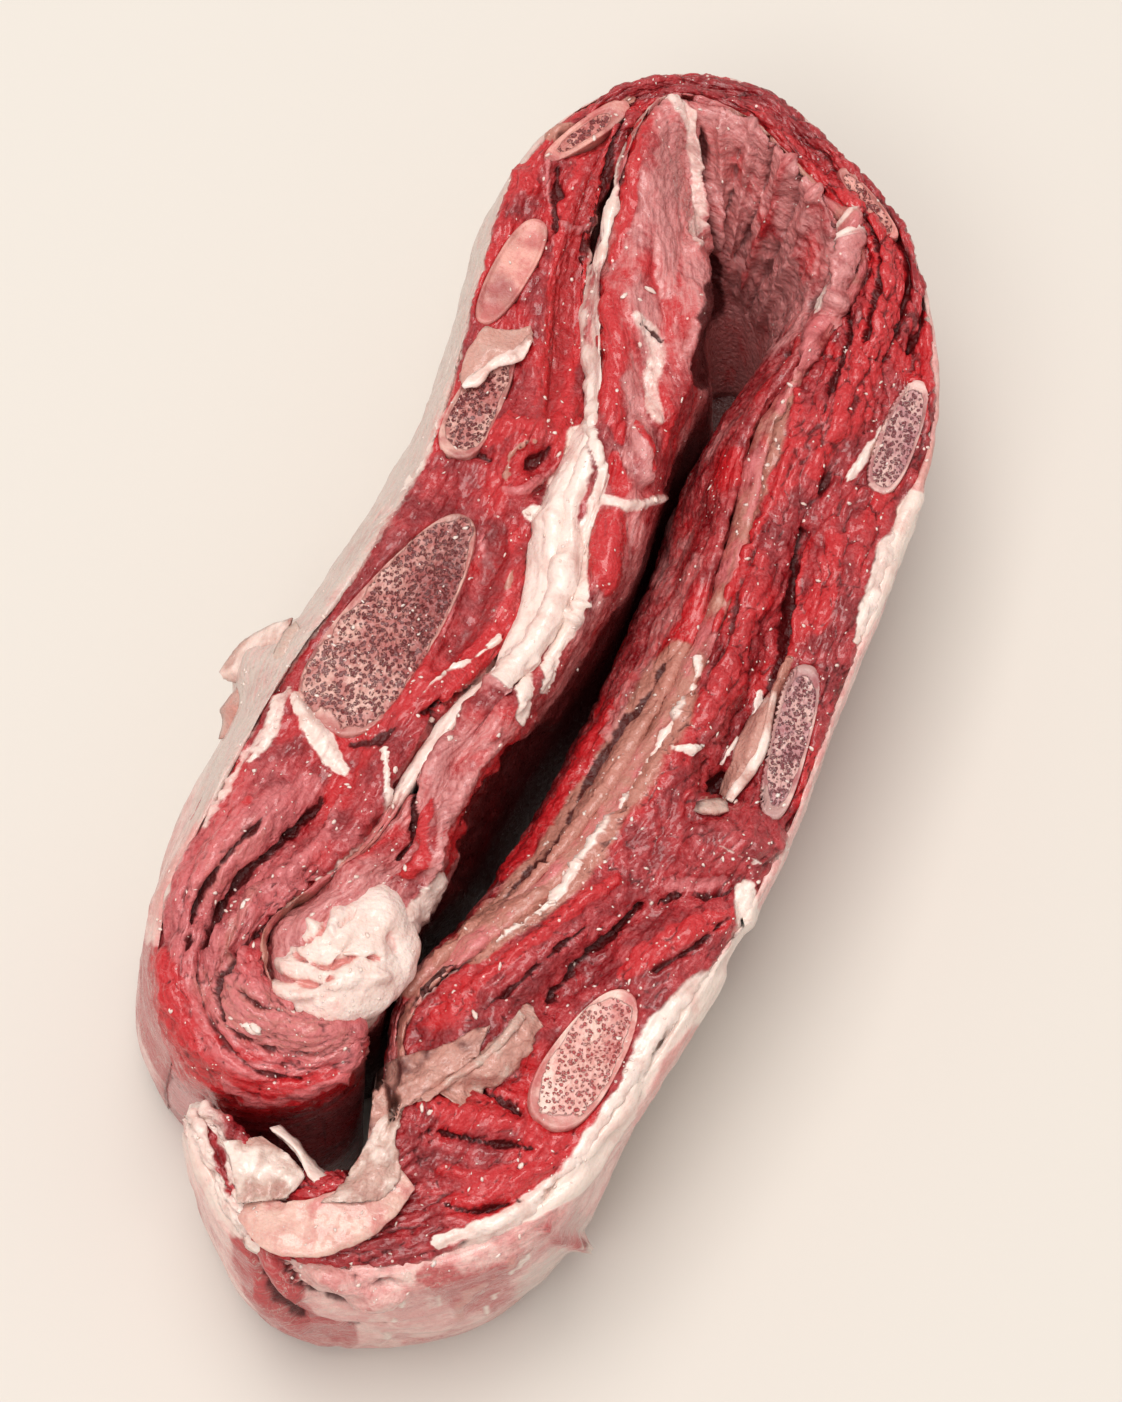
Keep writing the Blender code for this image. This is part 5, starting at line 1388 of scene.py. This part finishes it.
SHEETS = (
    Sheet("torn_flap_on_bone", ((459, 374), (466, 353), (474, 341), (486, 327), (508, 330), (530, 327)),
          ((462, 387), (477, 383), (489, 369), (503, 364), (521, 357), (532, 337)), 2.2, 1.6, 0.6,
          ((FILM, 0.3), (TAN, 0.6), (BRIGHT, 0.3)), 1.5, 0.4),
    Sheet("torn_edge_on_bone", ((461, 385), (472, 374), (486, 364), (500, 352), (515, 345), (531, 333)),
          ((466, 389), (479, 386), (491, 371), (505, 366), (523, 359), (534, 340)), 1.8, 2.0, 0.5,
          ((FAT, 0.6), (BRIGHT, 0.5)), 1.5, 0.6),
    # Painted shade: a dark sheet low in the slot that hides the pale floor there
    Sheet("slot_bottom_film",
          ((690, 330, 3), (704, 400, 3), (684, 496, 3), (646, 618, 3), (578, 768, 3), (497, 890, 3)),
          ((812, 340, 3), (786, 430, 3), (755, 516, 3), (714, 639, 3), (647, 789, 3), (571, 913, 3)), 1.0,
          0.0, 0.0, ((DEEP, 1.0),), 0.5, 0.4),
    Sheet("hanging_membrane", ((375, 1072), (400, 1058), (428, 1050), (458, 1040), (492, 1022)),
          ((370, 1138), (386, 1150), (402, 1114), (432, 1094), (470, 1070)), 1.0, 1.0, 1.4,
          ((TAN, 0.72), (DEEP, 0.42), (FILM, 0.2)), 3.5, 1.0),
    Sheet("membrane_fold_1", ((436, 1090), (452, 1074), (474, 1058), (502, 1032), (528, 1002)),
          ((462, 1106), (484, 1092), (506, 1080), (524, 1060), (542, 1026)), 1.2, 0.5, 1.6,
          ((TAN, 0.8), (FILM, 0.4)), 3.0, 1.4),
    Sheet("membrane_fold_2", ((420, 1096), (446, 1078), (470, 1062), (496, 1040), (520, 1010)),
          ((426, 1102), (452, 1085), (477, 1069), (503, 1047), (527, 1017)), 1.2, 2.0, 1.0,
          ((TAN, 0.9), (FILM, 0.5)), 1.5, 0.9),
    Sheet("white_membrane", ((222, 1142, 77), (230, 1160, 77), (234, 1182, 77), (238, 1204, 77)),
          ((262, 1136, 76), (290, 1156, 76), (304, 1176, 76), (286, 1198, 77)), 1.4, 0.0, 1.5,
          ((FILM, 0.6), (TAN, 0.35), (FAT, 0.45)), 1.2, 1.0),
    Sheet("membrane_lip",
          ((270, 1128, 75), (290, 1144, 76), (300, 1158, 76), (308, 1176, 77), (324, 1192, 76)),
          ((280, 1124, 73), (298, 1140, 73), (310, 1156, 73), (320, 1168, 74), (338, 1182, 74)), 1.6, 0.0,
          1.2, ((FAT, 0.9),), 1.2, 0.4),
    Sheet("flap_root", ((322, 1203), (338, 1190), (354, 1164), (370, 1132), (384, 1104)),
          ((378, 1200), (396, 1188), (400, 1166), (396, 1142), (402, 1116)), 1.4, 0.8, 1.8,
          ((FILM, 0.5), (TAN, 0.3), (FAT, 0.35)), 3.5, 1.0),
    Sheet("curled_end_upper",
          ((250, 1200, 71), (266, 1190, 72), (282, 1186, 72), (298, 1184, 72), (307, 1184, 72)),
          ((262, 1212, 71), (276, 1204, 73), (290, 1202, 73), (302, 1200, 72), (308, 1192, 72)), 1.8, 0.0,
          2.0, ((FAT, 0.6), (BRIGHT, 0.35)), 1.2, 0.4),
    Sheet("curled_end_lower",
          ((242, 1216, 70), (240, 1232, 70), (246, 1248, 70), (262, 1256, 70), (276, 1260, 70)),
          ((258, 1208, 71), (256, 1228, 72), (262, 1240, 72), (272, 1248, 72), (284, 1254, 71)), 1.8, 0.0,
          2.0, ((FAT, 0.6), (BRIGHT, 0.3)), 1.2, 0.4),
    Sheet("fascia_by_bone", ((769, 692), (752, 716), (740, 734), (730, 762), (718, 792)),
          ((775, 706), (766, 738), (762, 760), (746, 782), (727, 799)), 1.2, 1.2, 1.0,
          ((TAN, 1.0),), 1.2, 0.2),
    Sheet("fascia_rim", ((771, 690), (764, 722), (758, 745), (742, 770), (724, 798)),
          ((777, 692), (772, 726), (767, 752), (752, 778), (732, 802)), 1.4, 1.8, 0.8,
          ((TAN, 0.7), (FAT, 0.5)), 0.8, 0.2),
    Sheet("vessel_end", ((696, 802), (706, 799), (718, 798), (728, 803)),
          ((694, 812), (706, 815), (720, 815), (729, 810)), 2.0, 1.5, 1.4, ((DEEP, 0.42), (FILM, 0.6)), 0.8,
          0.4),
    Sheet("pocket_upper", ((292, 618, 74), (272, 624, 70), (250, 636, 66), (232, 653, 63), (219, 672, 61)),
          ((280, 652, 72), (268, 664, 68), (256, 676, 65), (240, 684, 62), (224, 680, 60)), 1.4, 0.0, 3.0,
          ((TAN, 0.35), (FAT, 0.5), (BRIGHT, 0.25)), 1.5, 0.6),
    Sheet("pocket_edge", ((296, 622, 76), (284, 632, 75), (274, 650, 74), (262, 668, 72), (256, 684, 70)),
          ((304, 634, 76), (294, 646, 76), (284, 664, 75), (272, 684, 73), (264, 694, 71)), 1.4, 0.0, 1.0,
          ((FILM, 0.9),), 1.2, 0.4),
    Sheet("pocket_lower", ((236, 686, 62), (228, 698, 60), (220, 710, 58), (222, 722, 57), (219, 738, 55)),
          ((256, 690, 66), (248, 702, 64), (242, 712, 62), (238, 724, 60), (230, 738, 58)), 1.4, 0.0, 1.6,
          ((BRIGHT, 0.4), (TAN, 0.5), (DEEP, 0.2)), 1.4, 0.8),
)


class Nodes:
    """Short ways to wire a material's nodes."""

    def __init__(self, name: str) -> None:
        """Start a material with the object's own coordinates."""
        self.material = bpy.data.materials.new(name)
        self.material.use_nodes = True
        self.tree = self.material.node_tree
        self.shader = self.tree.nodes["Principled BSDF"]
        self.space = self.add("ShaderNodeTexCoord").outputs["Object"]

    def add(self, kind: str, **values: object) -> bpy.types.Node:
        """A node with properties set."""
        node = self.tree.nodes.new(kind)
        for name, value in values.items():
            setattr(node, name, value)
        return node

    def put(self, socket: bpy.types.NodeSocket, value: object) -> None:
        """Link an output to a socket, or set the socket's value."""
        if isinstance(value, bpy.types.NodeSocket):
            self.tree.links.new(value, socket)
        elif isinstance(value, tuple):
            socket.default_value = (*value, 1.0)
        else:
            socket.default_value = value

    def maths(self, operation: str, a: object, b: object = 0.0) -> bpy.types.NodeSocket:
        """Result of a maths node."""
        node = self.add("ShaderNodeMath", operation=operation)
        self.put(node.inputs[0], a)
        self.put(node.inputs[1], b)
        return node.outputs[0]

    def times(self, a: object, b: object) -> bpy.types.NodeSocket:
        """Product of two values."""
        return self.maths("MULTIPLY", a, b)

    def plus(self, a: object, b: object) -> bpy.types.NodeSocket:
        """Sum of two values."""
        return self.maths("ADD", a, b)

    def minus(self, a: object, b: object) -> bpy.types.NodeSocket:
        """Difference of two values."""
        return self.maths("SUBTRACT", a, b)

    def step(self, value: object, low: float, high: float, to_low: float = 0.0,
             to_high: float = 1.0) -> bpy.types.NodeSocket:
        """Eased step of a value."""
        node = self.add("ShaderNodeMapRange", interpolation_type="SMOOTHSTEP")
        self.put(node.inputs[0], value)
        for i, number in enumerate((low, high, to_low, to_high), start=1):
            node.inputs[i].default_value = number
        return node.outputs[0]

    def noise(self, scale: float, detail: float = 3.0, rough: float = 0.55,
              bend: float = 0.0, space: bpy.types.NodeSocket | None = None) -> bpy.types.NodeSocket:
        """Fractal noise, at a scale per metre unless other coordinates are given."""
        node = self.add("ShaderNodeTexNoise")
        self.put(node.inputs["Vector"], self.space if space is None else space)
        node.inputs["Scale"].default_value = scale
        node.inputs["Detail"].default_value = detail
        node.inputs["Roughness"].default_value = rough
        node.inputs["Distortion"].default_value = bend
        return node.outputs["Fac"]

    def fibres(self, stretch: tuple[float, float, float]) -> bpy.types.NodeSocket:
        """Noise drawn out along the strip, from the grain stored with the mesh."""
        grain = self.add("ShaderNodeAttribute", attribute_name="grain")
        scaled = self.add("ShaderNodeVectorMath", operation="MULTIPLY")
        self.put(scaled.inputs[0], grain.outputs["Vector"])
        scaled.inputs[1].default_value = stretch
        return self.noise(1.0, 4.0, 0.6, 0.35, scaled.outputs[0])

    def cells(self, scale: float) -> bpy.types.NodeSocket:
        """Distance of cell noise at a scale per metre."""
        node = self.add("ShaderNodeTexVoronoi", feature="F1")
        self.put(node.inputs["Vector"], self.space)
        node.inputs["Scale"].default_value = scale
        return node.outputs["Distance"]

    def shade(self, values: dict[str, object]) -> None:
        """Link or set inputs of the shader."""
        for name, value in values.items():
            self.put(self.shader.inputs[name], value)

    def mask(self, paint: Paint, ragged: bpy.types.NodeSocket, amount: float = 0.4) -> bpy.types.NodeSocket:
        """A painted mask with its edge broken up."""
        node = self.add("ShaderNodeAttribute", attribute_name=paint.value)
        shift = self.times(self.minus(ragged, 0.5), amount)
        return self.step(self.plus(node.outputs["Fac"], shift), 0.32, 0.68)

    def mix(self, share: object, a: object, b: object) -> bpy.types.NodeSocket:
        """Blend of two colours."""
        node = self.add("ShaderNodeMix", data_type="RGBA")
        self.put(node.inputs[0], share)
        self.put(node.inputs[6], a)
        self.put(node.inputs[7], b)
        return node.outputs[2]

    def bump(self, height: object, distance: float) -> bpy.types.NodeSocket:
        """Normal of a height."""
        node = self.add("ShaderNodeBump")
        self.put(node.inputs["Height"], height)
        node.inputs["Distance"].default_value = distance
        node.inputs["Strength"].default_value = 1.0
        return node.outputs["Normal"]


@dataclass(frozen=True)
class Tissue:
    """Moist meat or fat: a base colour, tissues painted over it, fibres, white specks that are partly fat and
    partly painted glints, dark red that is partly painted shade, and a wet gloss.
    """

    base: Colour = (0.420, 0.018, 0.024)
    base_dark: Colour = (0.230, 0.004, 0.008)
    bright: Colour = (0.560, 0.013, 0.018)
    # dark red of the meat, also used as painted shade in creases, pits and the slot
    deep: Colour = (0.055, 0.001, 0.0015)
    film: Colour = (0.640, 0.165, 0.170)
    fat: Colour = (0.920, 0.740, 0.665)
    tan: Colour = (0.520, 0.225, 0.170)
    threads: float = 0.6
    # share of white specks, partly fat granules and partly painted glints
    specks_and_glints: float = 0.8
    fibre: float = 0.38
    gloss: float = 0.30
    wet: float = 0.5
    bump: float = 0.00045
    soft: float = 0.08

    def build(self, name: str) -> bpy.types.Material:
        """Make the material."""
        n = Nodes(name)
        grain = n.noise(1100, 3, 0.6)
        patch = n.noise(150, 5, 0.6)
        ragged = n.noise(520, 4, 0.65)
        fibre = n.fibres((1.8, 10.0, 1.0))
        colour = n.mix(n.step(patch, 0.38, 0.62), self.base_dark, self.base)
        colour = n.mix(n.step(grain, 0.45, 0.7, 0.0, 0.18), colour, self.film)
        colour = n.mix(n.times(n.mask(BRIGHT, ragged), 0.93), colour, self.bright)
        colour = n.mix(n.step(fibre, 0.56, 0.68, 0.0, self.fibre * 0.7), colour, self.film)
        colour = n.mix(n.step(fibre, 0.30, 0.44, self.fibre, 0.0), colour, self.base_dark)
        line = n.maths("ABSOLUTE", n.minus(n.noise(260, 4, 0.6, 1.2), 0.5))
        thread = n.times(n.step(line, 0.0, 0.022, 1.0, 0.0), n.step(patch, 0.45, 0.6, 0.0, self.threads))
        colour = n.mix(thread, colour, self.film)
        colour = n.mix(n.times(n.mask(TAN, ragged), 0.9), colour, self.tan)
        film = n.mask(FILM, ragged, 0.6)
        colour = n.mix(n.times(film, n.step(fibre, 0.34, 0.6, 0.45, 0.92)), colour, self.film)
        fat = n.mask(FAT, ragged, 0.35)
        blush = n.mix(n.step(patch, 0.44, 0.74, 0.0, 0.5), self.fat, self.tan)
        colour = n.mix(n.times(fat, 0.96), colour, blush)
        # White specks: partly fat granules, partly painted glints for the wet shine
        speck_and_glint = n.times(n.step(n.cells(360), 0.09, 0.15, 1.0, 0.0), n.step(n.noise(90, 2), 0.53, 0.62))
        colour = n.mix(n.times(speck_and_glint, self.specks_and_glints), colour, self.fat)
        # Dark red of the meat, and painted shade where the mask marks creases, pits and the slot
        colour = n.mix(n.times(n.mask(DEEP, ragged, 0.22), 0.92), colour, self.deep)
        height = n.plus(n.times(n.cells(800), -0.5), n.times(ragged, 1.4))
        height = n.plus(height, n.times(grain, 0.6))
        height = n.plus(height, n.times(fibre, 2.0 * self.fibre))
        height = n.times(height, n.minus(1.0, n.times(fat, 0.55)))
        n.shade({"Base Color": colour,
                 "Roughness": n.step(grain, 0.25, 0.75, self.gloss - 0.08, self.gloss + 0.16),
                 "Normal": n.bump(height, self.bump),
                 "Coat Weight": n.step(n.mask(DEEP, ragged, 0.22), 0.0, 1.0, self.wet, 0.0),
                 "Coat Roughness": 0.09,
                 "Specular IOR Level": 0.4,
                 "Subsurface Weight": self.soft,
                 "Subsurface Scale": 0.002})
        n.shader.inputs["Subsurface Radius"].default_value = (1.0, 0.35, 0.22)
        return n.material


@dataclass(frozen=True)
class SawnBone:
    """Sawn rib bone: pale hard rim, pink lattice with dark red pores."""

    rim: Colour = (0.830, 0.560, 0.490)
    sponge: Colour = (0.620, 0.260, 0.240)
    pore: Colour = (0.120, 0.004, 0.007)
    blush: Colour = (0.560, 0.120, 0.115)
    scale: float = 820.0
    open_share: float = 0.42

    def build(self, name: str) -> bpy.types.Material:
        """Make the material."""
        n = Nodes(name)
        ragged = n.noise(600, 4, 0.65)
        patch = n.noise(190, 3, 0.6)
        sponge = n.mask(TAN, ragged, 0.3)
        dark = n.add("ShaderNodeAttribute", attribute_name=DEEP.value).outputs["Fac"]
        net = n.maths("ABSOLUTE", n.minus(n.noise(self.scale, 1.5, 0.5, 0.8), 0.5))
        hole = n.plus(n.cells(self.scale * 1.15), n.times(n.minus(ragged, 0.5), 0.8))
        closed = n.step(hole, self.open_share, self.open_share + 0.14)
        lattice = n.maths("MAXIMUM", closed, n.step(net, 0.018, 0.045, 1.0, 0.0))
        colour = n.mix(n.step(patch, 0.40, 0.66, 0.0, 0.75), self.rim, self.blush)
        colour = n.mix(n.step(n.noise(60, 3, 0.5), 0.46, 0.62, 0.0, 0.5), colour, self.pore)
        colour = n.mix(n.times(n.mask(BRIGHT, ragged), 0.5), colour, self.blush)
        wall = n.mix(n.step(patch, 0.42, 0.62), self.sponge, self.rim)
        wall = n.mix(n.step(dark, 0.45, 1.0, 0.0, 0.62), wall, self.blush)
        inside = n.mix(lattice, self.pore, wall)
        inside = n.mix(n.step(dark, 0.0, 0.55, 0.6, 1.0), wall, inside)
        inside = n.mix(n.step(dark, 0.7, 1.0, 0.0, 0.45), inside, self.pore)
        colour = n.mix(sponge, colour, inside)
        height = n.plus(n.times(n.times(lattice, sponge), 1.2), ragged)
        n.shade({"Base Color": colour,
                 "Roughness": n.step(ragged, 0.3, 0.7, 0.30, 0.5),
                 "Normal": n.bump(height, 0.0006),
                 "Coat Weight": 0.25,
                 "Coat Roughness": 0.15,
                 "Subsurface Weight": 0.05,
                 "Subsurface Scale": 0.002})
        return n.material


@dataclass
class Studio:
    """Plain pale floor and soft light from above."""

    floor: Colour = (0.690, 0.648, 0.597)
    sky: Colour = (1.0, 0.98, 0.95)
    sky_strength: float = 0.58
    light: Colour = (1.0, 0.97, 0.94)
    # Name, place in metres, size in metres and watts of each lamp
    lamps: tuple = (("key", (-0.4, 0.35, 3.3), 1.7, 66.0), ("fill", (-0.3, -1.5, 2.6), 1.2, 23.0))

    def lamp(self, name: str, place_m: tuple[float, float, float], size: float, watts: float) -> None:
        """A square soft lamp that points at the meat."""
        data = bpy.data.lights.new(name, "AREA")
        data.size = size
        data.energy = watts
        data.color = self.light
        lamp = bpy.data.objects.new(name, data)
        way = np.array(place_m) / np.linalg.norm(place_m)
        side = unit(np.cross((0.0, 1.0, 0.1), way))
        up = np.cross(way, side)
        lamp.matrix_world = Matrix([[side[i], up[i], way[i], place_m[i]] for i in range(3)] + [[0, 0, 0, 1]])
        link(lamp)

    def build(self) -> None:
        """Make the floor, the world and the lamps."""
        mesh = bpy.data.meshes.new("floor")
        mesh.from_pydata([(-4, -4, 0), (4, -4, 0), (4, 4, 0), (-4, 4, 0)], [], [(0, 1, 2, 3)])
        floor = link(bpy.data.objects.new("floor", mesh))
        n = Nodes("floor_finish")
        n.shade({"Base Color": self.floor, "Roughness": 0.9})
        mesh.materials.append(n.material)
        world = bpy.data.worlds.new("sky")
        world.use_nodes = True
        back = world.node_tree.nodes["Background"]
        back.inputs["Color"].default_value = (*self.sky, 1.0)
        back.inputs["Strength"].default_value = self.sky_strength
        bpy.context.scene.world = world
        bpy.context.scene.view_settings.view_transform = "Standard"
        for values in self.lamps:
            self.lamp(*values)


PINK_MEAT = Tissue(base=(0.440, 0.035, 0.040), film=(0.680, 0.270, 0.260))
SEAM = Tissue(base=(0.480, 0.110, 0.095))
COVER = Tissue(
    base=(0.860, 0.530, 0.480), base_dark=(0.720, 0.310, 0.290), bright=(0.430, 0.026, 0.030),
    film=(0.600, 0.490, 0.430), tan=(0.640, 0.280, 0.240), fat=(0.840, 0.680, 0.600), specks_and_glints=0.3, gloss=0.34)
WHITE_FAT = Tissue(
    base=(0.880, 0.710, 0.640), base_dark=(0.820, 0.600, 0.530), bright=(0.720, 0.260, 0.230),
    film=(0.960, 0.840, 0.760), deep=(0.25, 0.03, 0.03), threads=0.2, specks_and_glints=0.0, bump=0.0003, soft=0.12)
DULL_FAT = Tissue(
    base=(0.760, 0.470, 0.390), base_dark=(0.660, 0.330, 0.280), bright=(0.640, 0.220, 0.200),
    film=(0.860, 0.700, 0.610), fat=(0.780, 0.520, 0.440), deep=(0.25, 0.03, 0.03), threads=0.2, specks_and_glints=0.2,
    bump=0.0003, soft=0.12)
MEMBRANE = Tissue(
    base=(0.620, 0.360, 0.300), base_dark=(0.480, 0.230, 0.190), bright=(0.560, 0.060, 0.060),
    film=(0.600, 0.440, 0.370), tan=(0.600, 0.290, 0.235), deep=(0.080, 0.010, 0.012), threads=0.3,
    specks_and_glints=0.4, fibre=0.2, soft=0.1)
DARK_BONE = SawnBone(
    rim=(0.700, 0.390, 0.330), sponge=(0.470, 0.160, 0.140), pore=(0.150, 0.010, 0.012),
    blush=(0.400, 0.060, 0.060))
DUSKY_BONE = SawnBone(
    rim=(0.740, 0.470, 0.420), sponge=(0.470, 0.210, 0.220), pore=(0.190, 0.030, 0.038),
    blush=(0.400, 0.100, 0.110), scale=900.0)
PINK_BONE = SawnBone(
    rim=(0.860, 0.580, 0.500), sponge=(0.740, 0.380, 0.330), pore=(0.440, 0.060, 0.058), open_share=0.34)
SALMON_BONE = SawnBone(
    rim=(0.760, 0.360, 0.300), sponge=(0.480, 0.140, 0.120), pore=(0.200, 0.018, 0.020), scale=700.0)


def main() -> None:
    """Build every piece in order."""
    logging.basicConfig(level=logging.INFO, format="%(message)s")
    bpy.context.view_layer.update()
    step = 0.85 * COARSE
    strip = Strip(step)
    RibMuscle(strip, 11).build(Tissue())
    InnerMuscle(Strip(step), 12).build(PINK_MEAT)
    SeamFat(strip, 13).build(SEAM)
    OuterFat(Strip(1.5 * COARSE), 14).build(COVER)
    FatLump().build(WHITE_FAT)
    FatFlap().build(DULL_FAT)
    for bone, finish in ((RibBone(1, 0.9, (0.9, 0.0), 0.62), SALMON_BONE),
                         (RibBone(2, 0.0), SALMON_BONE),
                         (RibBone(3, 1.0, (0.3, 0.3), 0.84), DARK_BONE),
                         (RibBone(4, 1.0, (1.2, -0.8), 0.93), DARK_BONE),
                         (RibBone(5, 0.9), SALMON_BONE),
                         (RibBone(6, 1.0, (0.0, 0.0), 0.84, teeth=0.3), DUSKY_BONE),
                         (RibBone(7, 1.0, (0.2, 0.0), 0.82, teeth=0.35), DUSKY_BONE),
                         (RibBone(8, 0.9, (0.9, -0.6), 0.88), PINK_BONE)):
        bone.build(finish)
    for sheet in SHEETS:
        sheet.build(MEMBRANE, Slot.CAP)
    FlecksAndGlints().build(WHITE_FAT)
    Studio().build()
    VIEW.build()


if __name__ == "__main__":
    main()
